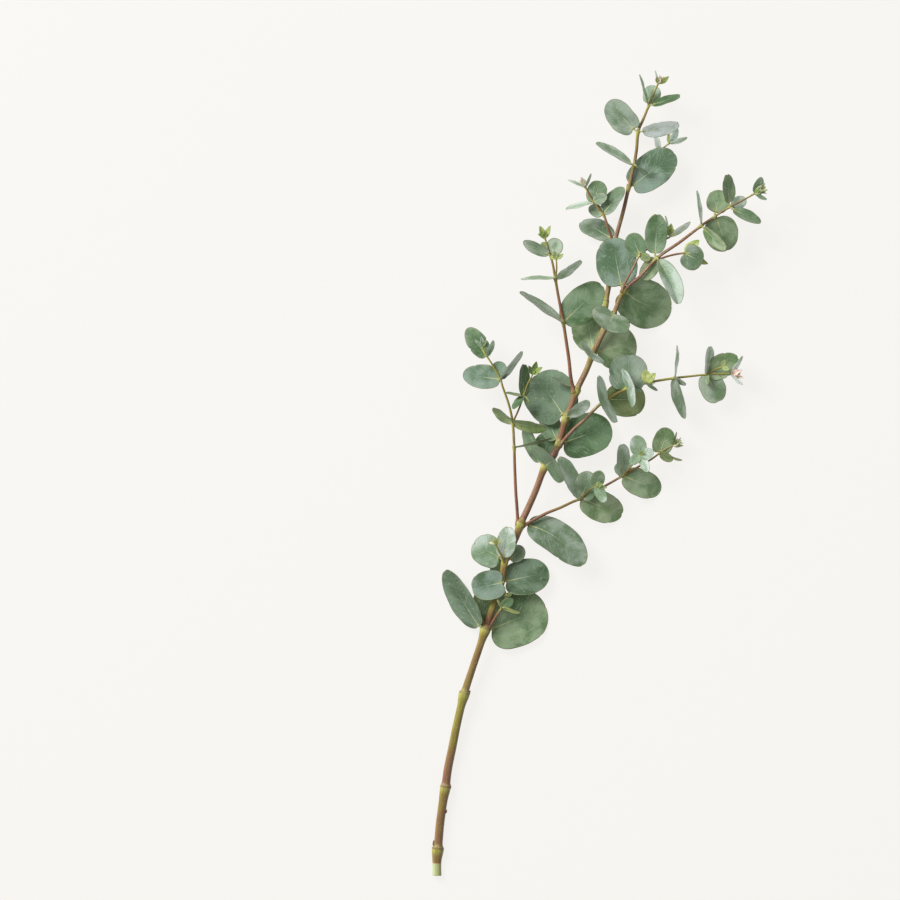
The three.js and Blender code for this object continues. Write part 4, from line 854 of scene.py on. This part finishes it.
def add_blade(shape, leaf, root, seed, petiole=0, base=None):
    """One leaf blade, and where a base is given, the stalk that joins it to the wood."""
    chance = random.Random(seed)
    matrix = leaf_matrix(leaf, root)
    surface, flat, s, t = blade_surface(leaf, petiole, chance)
    middle = surface @ np.array(matrix.to_3x3()).T + np.array(matrix.translation)
    middle[..., 2] = pressed(middle[..., 2], CAD_THICKNESS / 2)
    normals = grid_normals(middle)
    near_base = bell(s * leaf["length"] / BASE_REACH)
    half = (BLADE_HALF + (PETIOLE_HALF_HEIGHT - BLADE_HALF) * near_base) * np.sqrt(1 - t ** 6)
    size = min(leaf["width"] / FULL_RIB_WIDTH, 1)
    on_rib = bell(flat[..., 1] / RIB_WIDTH)
    rib = RIB_HEIGHT * size * on_rib * (1 - s) ** 0.8
    groove = GROOVE_DEPTH * size * on_rib * (1 - s) * (1 - near_base)
    upper = middle + normals * (half - groove)[..., None]
    lower = middle - normals * (half + rib * np.sqrt(1 - t ** 2))[..., None]
    fineness = max(1, FINE_LEAF_WIDTH / leaf["width"])
    at = np.concatenate([flat, edge_distance(flat)[..., None]], axis=-1) * fineness
    faces = [np.stack(np.broadcast_arrays(s, t, face), axis=-1) for face in (1.0, 0.0)]
    loft = [ringed(upper, lower), ringed(at, at), ringed(*faces)]
    if base is not None:
        stalk = petiole_rings(matrix, petiole, base, t[0])
        loft = [np.concatenate(grids) for grids in zip(stalk, loft)]
    shade = chance.uniform(0.94, 1.06)
    shape.add_loft(*loft, [shade * value for value in linear(leaf["colour"])], 0)


def petiole_rings(matrix, petiole, base, t):
    """Rings of a short curved stalk from a point in the wood to the blade's base."""
    end = matrix @ Vector((petiole - PETIOLE_OVERLAP, 0, 0))
    heading = (matrix.to_3x3() @ Vector((1, 0, 0))).normalized()
    bend = end - heading * (end - base).length * PETIOLE_BEND
    share = np.linspace(0, 1, PETIOLE_RINGS)[::-1, None]
    line = ((1 - share) ** 2 * np.array(base) + 2 * share * (1 - share) * np.array(bend)
            + share ** 2 * np.array(end))
    sides, tops = along_line(line, matrix.to_3x3() @ Vector((0, -1, 0)))
    grow = 1 + PETIOLE_FLARE * (1 - share) ** 2
    across = grow * PETIOLE_HALF_WIDTH * t
    height = grow * PETIOLE_HALF_HEIGHT * np.sqrt(1 - t ** 2)
    spine = line[:, None] - across[..., None] * sides[:, None]
    lift = height[..., None] * tops[:, None]
    rings = ringed(spine - lift, spine + lift)[::-1]
    at = np.zeros(rings.shape)
    at[..., 0] = np.linspace(-2, -0.2, len(rings))[:, None]
    at[..., 2] = 2
    return rings, at, np.broadcast_to((0.0, 0.0, 1.0), rings.shape)


def petiole_reach(leaf, out):
    """How far the end of the solids' stalk reaches towards the wood."""
    turn = leaf_matrix(leaf, Vector((0, 0, 0))).to_3x3()
    left, normal = turn @ Vector((0, 1, 0)), turn @ UP
    return (PETIOLE_WIDTH * abs(left.dot(out)) + CAD_THICKNESS * abs(normal.dot(out))) / 2


# Pieces

def main_stem():
    shape = Shape()
    add_wood(shape, stations_of(MAIN_AXIS), STEM_SIDES, STEM_STEP, 0, STEM_RED, PEELED_LENGTH)
    for rows, redness in ((LEFT_FORK, LEFT_RED), (RIGHT_FORK, RIGHT_RED)):
        add_wood(shape, stations_of(rows), FORK_SIDES, STEM_STEP, 0, redness)
    for bud in BUDS:
        add_bud(shape, *bud)
    return shape


def wood_leaf(name, row, joints):
    leaf, joint = read_leaf(row), joints[name.split("_")[1]]
    out = start_direction(joint, leaf["start"], leaf["heading"])
    root = joint["centre"] + out * (joint["radius"] + ROOT_GAP + petiole_reach(leaf, out))
    base = joint["centre"] + out * joint["radius"] * STALK_SUNK_SHARE
    shape = Shape()
    add_blade(shape, leaf, root, name, PETIOLE_LENGTH, base)
    return shape


def add_shoot(shape, name, wood, start, beginning, redness, flare):
    """A shoot's wood, leaves, tip bud and twigs. Its wood begins inside what it grows from."""
    stations = stations_of([(*start, wood[0][3]), *wood])
    joints = find_joints(stations)
    stations[0]["centre"] = beginning
    add_wood(shape, stations, SHOOT_SIDES, SHOOT_STEP, 1, redness, root_flare=flare)
    leaves = [(joints[place], read_leaf(row)) for place in joints for row in LEAVES[place]]
    for i, (joint, leaf) in enumerate(leaves):
        out = start_direction(joint, leaf["start"], leaf["heading"])
        add_blade(shape, leaf, joint["centre"] + out * joint["radius"] * ROOT_SUNK_SHARE, f"{name} {i}")
    for place in (place for place in TIP_BUDS if place in joints):
        add_tip_bud(shape, joints[place], *TIP_BUDS[place], place)
    for place in (place for place in joints if place in TWIGS):
        twig, inner = TWIGS[place], joints[place]["centre"]
        ahead = inner.lerp(Vector(twig[0][:3]), TWIG_START_SHARE)
        add_shoot(shape, place, twig, inner, ahead, TWIG_RED, TWIG_FLARE)


def add_tip_bud(shape, joint, size, colour, name):
    """Pointed young scales crowded round a growing tip."""
    axis = joint["tangent"]
    heading = math.degrees(math.atan2(axis.y, axis.x))
    rise = math.degrees(math.asin(axis.z))
    for k in range(SCALES):
        outer = k / (SCALES - 1)
        turn = k * GOLDEN_ANGLE
        lean = SCALE_LEAN + MORE_LEAN * outer
        leaf = read_leaf((
            0, heading + lean * math.cos(turn), rise + lean * math.sin(turn) + SCALE_LIFT,
            SCALE_ROLL * math.cos(turn), size * (1 - SCALE_SHORTENING * outer),
            size * SCALE_WIDTH_SHARE, POINTED, SCALE_ARCH, SCALE_FOLD, colour,
        ))
        add_blade(shape, leaf, joint["centre"], f"{name} scale {k}")


def side_shoot(name, place, start, heading, wood, joints):
    joint = joints[place]
    out = start_direction(joint, start, heading)
    foot = joint["centre"] + out * (joint["radius"] + ROOT_GAP + wood[0][3] / 2)
    beginning = joint["centre"] + out * joint["radius"] * ROOT_SUNK_SHARE - joint["tangent"] * AXIL_DEPTH
    shape = Shape()
    add_shoot(shape, name, wood, foot, beginning, SHOOT_RED[name], ROOT_FLARE)
    return shape


def growing_tip(name, place, wood, joints):
    centre, tangent = joints[place]["centre"], joints[place]["tangent"]
    beginning = centre - tangent * TIP_START_DEPTH
    shape = Shape()
    add_shoot(shape, name, wood, centre + tangent * ROOT_GAP, beginning, TIP_RED, TWIG_FLARE)
    return shape


# Materials

class Value:
    """A number or colour that a material works out, with the usual arithmetic."""

    def __init__(self, graph, socket):
        self.graph, self.socket = graph, socket

    def __add__(self, other):
        return self.graph.math("ADD", self, other)

    def __sub__(self, other):
        return self.graph.math("SUBTRACT", self, other)

    def __rsub__(self, other):
        return self.graph.math("SUBTRACT", other, self)

    def __mul__(self, other):
        return self.graph.math("MULTIPLY", self, other)

    def __truediv__(self, other):
        return self.graph.math("DIVIDE", self, other)

    def __pow__(self, other):
        return self.graph.math("POWER", self, other)

    def __abs__(self):
        return self.graph.math("ABSOLUTE", self)


class Graph:
    """A material's nodes, added by short calls."""

    def __init__(self, name):
        self.material = bpy.data.materials.new(name)
        self.material.use_nodes = True
        self.nodes = self.material.node_tree.nodes
        self.shader = self.nodes["Principled BSDF"]

    def feed(self, socket, value):
        if isinstance(value, Value):
            self.material.node_tree.links.new(value.socket, socket)
        else:
            socket.default_value = value

    def node(self, kind, inputs, **settings):
        """A new node with its settings, and its inputs fed by name or by number."""
        node = self.nodes.new("ShaderNode" + kind)
        for name, value in settings.items():
            setattr(node, name, value)
        for key, value in inputs.items():
            self.feed(node.inputs[key], value)
        return node

    def value(self, kind, inputs, output=0, **settings):
        return Value(self, self.node(kind, inputs, **settings).outputs[output])

    def parts(self, name):
        """The three numbers of a surface value."""
        source = self.value("Attribute", {}, "Vector", attribute_name=name)
        node = self.node("SeparateXYZ", {0: source})
        return [Value(self, socket) for socket in node.outputs]

    def colour_of(self, name):
        return self.value("Attribute", {}, "Color", attribute_name=name)

    def place(self):
        return self.value("TexCoord", {}, "Object")

    def math(self, operation, *values):
        return self.value("Math", dict(enumerate(values)), operation=operation)

    def vector(self, x, y, z):
        return self.value("CombineXYZ", {0: x, 1: y, 2: z})

    def noise(self, vector, scale, detail):
        return self.value("TexNoise", {"Vector": vector, "Scale": scale, "Detail": detail}, "Fac")

    def cell_edges(self, vector):
        """How far a point lies from the edges of scattered cells."""
        inputs = {"Vector": vector, "Scale": 1.0}
        return self.value("TexVoronoi", inputs, "Distance", feature="DISTANCE_TO_EDGE")

    def between(self, value, low, high, to_low=0.0, to_high=1.0):
        """A smooth step from to_low at low to to_high at high."""
        inputs = dict(enumerate((value, low, high, to_low, to_high)))
        return self.value("MapRange", inputs, interpolation_type="SMOOTHSTEP")

    def mix(self, share, first, second, blend="MIX"):
        inputs = {0: share, 6: first, 7: second}
        return self.value("Mix", inputs, 2, data_type="RGBA", blend_type=blend)

    def times(self, colour, factors):
        return self.mix(1.0, colour, factors, "MULTIPLY")

    def ramp(self, value, stops):
        node = self.node("ValToRGB", {0: value})
        points = node.color_ramp.elements
        for _ in range(len(stops) - 2):
            points.new(0.5)
        for point, (place, colour) in zip(points, stops):
            point.position = place
            point.color = rgba(colour)
        return Value(self, node.outputs[0])

    def finish(self, height, strength, **values):
        """Bump and the shader's other values, by the names of its inputs."""
        inputs = {"Height": height, "Distance": BUMP_DISTANCE, "Strength": strength}
        self.feed(self.shader.inputs["Normal"], self.value("Bump", inputs))
        self.settings(**values)

    def settings(self, **values):
        for name, value in values.items():
            self.feed(self.shader.inputs[name.replace("_", " ")], value)


def rgba(colour):
    return (*linear(colour), 1.0)


def leaf_material():
    """Matt leaf with a streaky waxy bloom, a pale midrib, fine side veins and a reddish margin."""
    g = Graph("eucalyptus leaf")
    u, v, rim = g.parts("at")
    s, t, face = g.parts("rel")
    place, tint = g.place(), g.colour_of("tint")
    drift = g.noise(place, 9, 1) * 40.0
    slant = u - abs(v) * VEIN_SLANT + g.noise(g.vector(u, v, drift), 0.2, 2) * 5.0

    broad, cloud = g.noise(place, 52, 2), g.noise(place, 130, 3)
    patch, grain = g.noise(place, 420, 3), g.noise(place, 1500, 2)
    streak = g.noise(g.vector(slant * 0.5, v * 0.09, drift), 1.0, 3)
    fine = g.noise(g.vector(slant * 1.9, v * 0.3, drift), 1.0, 2)
    wax = broad * 0.58 + cloud * 0.16 + streak * 0.12 + fine * 0.07 + grain * 0.07
    wax = g.between(wax, 0.42, 0.57)
    colour = g.mix(wax, g.times(tint, BARE), g.times(tint, BLOOM))
    # A darker middle to the blade, in patches, in its colour without bloom: partly painted shade in the
    # fold along the midrib
    heart = g.between(abs(t), 0.02, 0.5, 1.0, 0.0) * g.between(s, 0.1, 0.4)
    heart = heart * g.between(s, 0.6, 0.95, 1.0, 0.0) * g.between(cloud, 0.38, 0.6, 0.0, 0.8)
    colour = g.mix(heart, colour, g.times(tint, BARE))

    vein = g.cell_edges(g.vector(slant / VEIN_SPACING, v / VEIN_LENGTH, drift))
    vein = g.between(vein, 0.015, 0.07, 1.0, 0.0) * g.between(abs(v), 0.2, 1.6)
    vein = vein * g.between(rim, 0.3, 3.0) * g.between(patch, 0.35, 0.6, 0.25, 1.0)
    colour = g.mix(vein * 0.36, colour, g.mix(0.6, tint, rgba(VEIN_COLOUR)))
    rib = g.between(abs(v) - (1.0 - s) ** 0.9 * 0.24, 0.0, 0.26, 1.0, 0.0)
    colour = add_midrib(g, colour, rib, u, v, s, patch)
    colour = add_margin(g, colour, rim, tint, cloud, place)
    colour = g.mix((1.0 - face) * 0.3, colour, g.mix(0.5, tint, rgba(UNDER_COLOUR)))

    height = grain * 0.2 + patch * 0.5 + streak * 0.6 + fine * 0.4 - rib * 0.4 - vein * 0.45
    g.finish(height, 0.7, Base_Color=colour, Roughness=g.between(wax, 0.0, 1.0, 0.46, 0.66),
             Sheen_Weight=0.06, Sheen_Roughness=0.5, Specular_IOR_Level=0.38)
    return g.material


def add_midrib(g, colour, rib, u, v, s, patch):
    """The pale midrib, fading towards the tip, and the yellow-green round the blade's base."""
    shown = rib * g.between(s, 0.1, 0.75, 0.85, 0.1) * g.between(patch, 0.3, 0.6, 0.55, 1.0)
    rib_colour = g.mix(g.between(s, 0.05, 0.45), rgba(RIB_BASE_COLOUR), rgba(RIB_COLOUR))
    colour = g.mix(shown, colour, rib_colour)
    from_base = g.math("SQRT", u * u + v * v)
    return g.mix(g.between(from_base, 0.4, 3.0, 0.7, 0.0), colour, rgba(BASE_COLOUR))


def add_margin(g, colour, rim, tint, cloud, place):
    """The dark line round the blade, patchy and fainter on pale leaves, and the olive inside it."""
    inner_edge = g.between(rim, 0.35, 1.0, g.between(cloud, 0.4, 0.6, 0.1, 0.6), 0.0)
    colour = g.mix(inner_edge, colour, rgba(INNER_EDGE_COLOUR))
    patchy = g.between(g.noise(place, 200, 2), 0.35, 0.6, 0.5, 1.0)
    margin = g.between(rim, 0.14, 0.42, 1.0, 0.0) * patchy * g.between(tint, 0.25, 0.6, 1.0, 0.25)
    return g.mix(margin, colour, rgba(MARGIN_COLOUR))


def wood_material():
    """Young bark, from yellow-green to red-brown, streaked along the stem and peeled at the cut, with
    painted light on its left flank and painted shade on its right.
    """
    g = Graph("eucalyptus wood")
    x, y, along = g.parts("at")
    red, bare, node = g.parts("rel")
    scar = g.parts("tint")[0]
    grain = g.noise(g.vector(x, y, along * 0.05), 1.6, 4)
    thread = g.noise(g.vector(x, y, along * 0.03), 4.5, 2)
    cloud = g.noise(g.place(), 80, 3)
    colour = g.ramp(red + grain * 0.9 + cloud * 0.6 - 0.75 - node * 0.3, WOOD_STOPS)
    colour = g.mix(g.between(thread, 0.42, 0.62, 0.0, 0.35), colour, g.times(colour, PALE_STREAK_AND_PAINTED_LIGHT))
    colour = g.mix(g.between(thread, 0.36, 0.48, 0.35, 0.0), colour, g.times(colour, DARK_STREAK_AND_PAINTED_SHADE))
    speck = g.between(g.noise(g.vector(x, y, along * 0.6), 2.2, 1), 0.64, 0.72)
    colour = g.mix(speck * 0.45, colour, rgba(SPECK_COLOUR))
    colour = g.mix(node * g.between(along, 140, 200, 0.5, 0.8), colour, rgba(NODE_COLOUR))
    colour = g.mix(bare, colour, g.mix(grain, rgba(PEELED_COLOUR), rgba(PEELED_LIGHT)))
    colour = g.mix(bare * (1.0 - bare) * 3.4, colour, rgba(TORN_COLOUR))
    colour = g.mix(scar * g.between(cloud, 0.4, 0.55, 0.45, 0.9), colour, rgba(SCAR_COLOUR))
    # Painted light and shade: the left flank, towards the lamp, made lighter, and the right flank darker
    # and browner
    radius = g.math("SQRT", x * x + y * y)
    flank = x / g.math("MAXIMUM", radius, 0.01)
    colour = g.mix(g.between(flank, -0.8, -0.05, 0.95, 0.0), colour, g.times(colour, DARK_STREAK_AND_PAINTED_SHADE))
    colour = g.mix(g.between(flank, 0.25, 0.75, 0.0, 0.8), colour, g.times(colour, PALE_STREAK_AND_PAINTED_LIGHT))
    height = grain * 0.6 + thread * 0.5 + speck * 0.4 + cloud * 0.3
    g.finish(height, 0.8, Base_Color=colour, Roughness=g.between(grain, 0.3, 0.7, 0.26, 0.4),
             Specular_IOR_Level=0.7)
    return g.material


def floor_material():
    """Pale and mostly glowing, so that shadows on it stay faint."""
    g = Graph("pale surface")
    g.settings(Base_Color=rgba(FLOOR_DIFFUSE), Roughness=0.9, Emission_Color=rgba(FLOOR_COLOUR),
               Emission_Strength=FLOOR_GLOW)
    return g.material


# Scene

def add_floor():
    corners = [(x * FLOOR_REACH, y * FLOOR_REACH, 0) for x, y in ((-1, -1), (1, -1), (1, 1), (-1, 1))]
    mesh = bpy.data.meshes.new("floor")
    mesh.from_pydata(corners, [], [(0, 1, 2, 3)])
    mesh.materials.append(floor_material())
    floor = placed("floor", mesh)


def light_scene():
    world = bpy.data.worlds.new("studio")
    world.use_nodes = True
    sky = world.node_tree.nodes["Background"]
    sky.inputs["Color"].default_value = rgba(FLOOR_COLOUR)
    sky.inputs["Strength"].default_value = SKY_STRENGTH
    bpy.context.scene.world = world
    key = placed("key", bpy.data.lights.new("key", "AREA"))
    key.data.size, key.data.energy = KEY_SIZE, KEY_POWER
    key.location = KEY_PLACE
    key.rotation_euler = (-Vector(KEY_PLACE)).to_track_quat("-Z", "Y").to_euler()


def add_camera():
    """A camera straight above that sees FRAME_WIDTH of the surface."""
    camera = placed("camera", bpy.data.cameras.new("camera"))
    camera.data.sensor_width = 36
    camera.data.lens = camera.data.sensor_width * CAMERA_HEIGHT / FRAME_WIDTH
    camera.data.clip_end = 100
    camera.location = (*FRAME_CENTRE, CAMERA_HEIGHT + FOCUS_LEVEL)
    bpy.context.scene.camera = camera


def add_piece(name, shape, materials):
    piece = shape.to_object(name + "_look", materials)
    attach(piece, "root")
    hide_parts(name)


def build_branch():
    leaf, wood = leaf_material(), wood_material()
    joints = {}
    for rows in (MAIN_AXIS, LEFT_FORK, RIGHT_FORK):
        joints.update(find_joints(stations_of(rows)))
    add_piece("main_stem", main_stem(), [wood])
    for name, row in WOOD_LEAVES.items():
        add_piece(name, wood_leaf(name, row, joints), [leaf])
    for name, row in SHOOTS.items():
        add_piece(name, side_shoot(name, *row, joints), [leaf, wood])
    for name, row in TIPS.items():
        add_piece(name, growing_tip(name, *row, joints), [leaf, wood])


build_branch()
add_floor()
light_scene()
add_camera()
bpy.context.scene.view_settings.view_transform = "Standard"
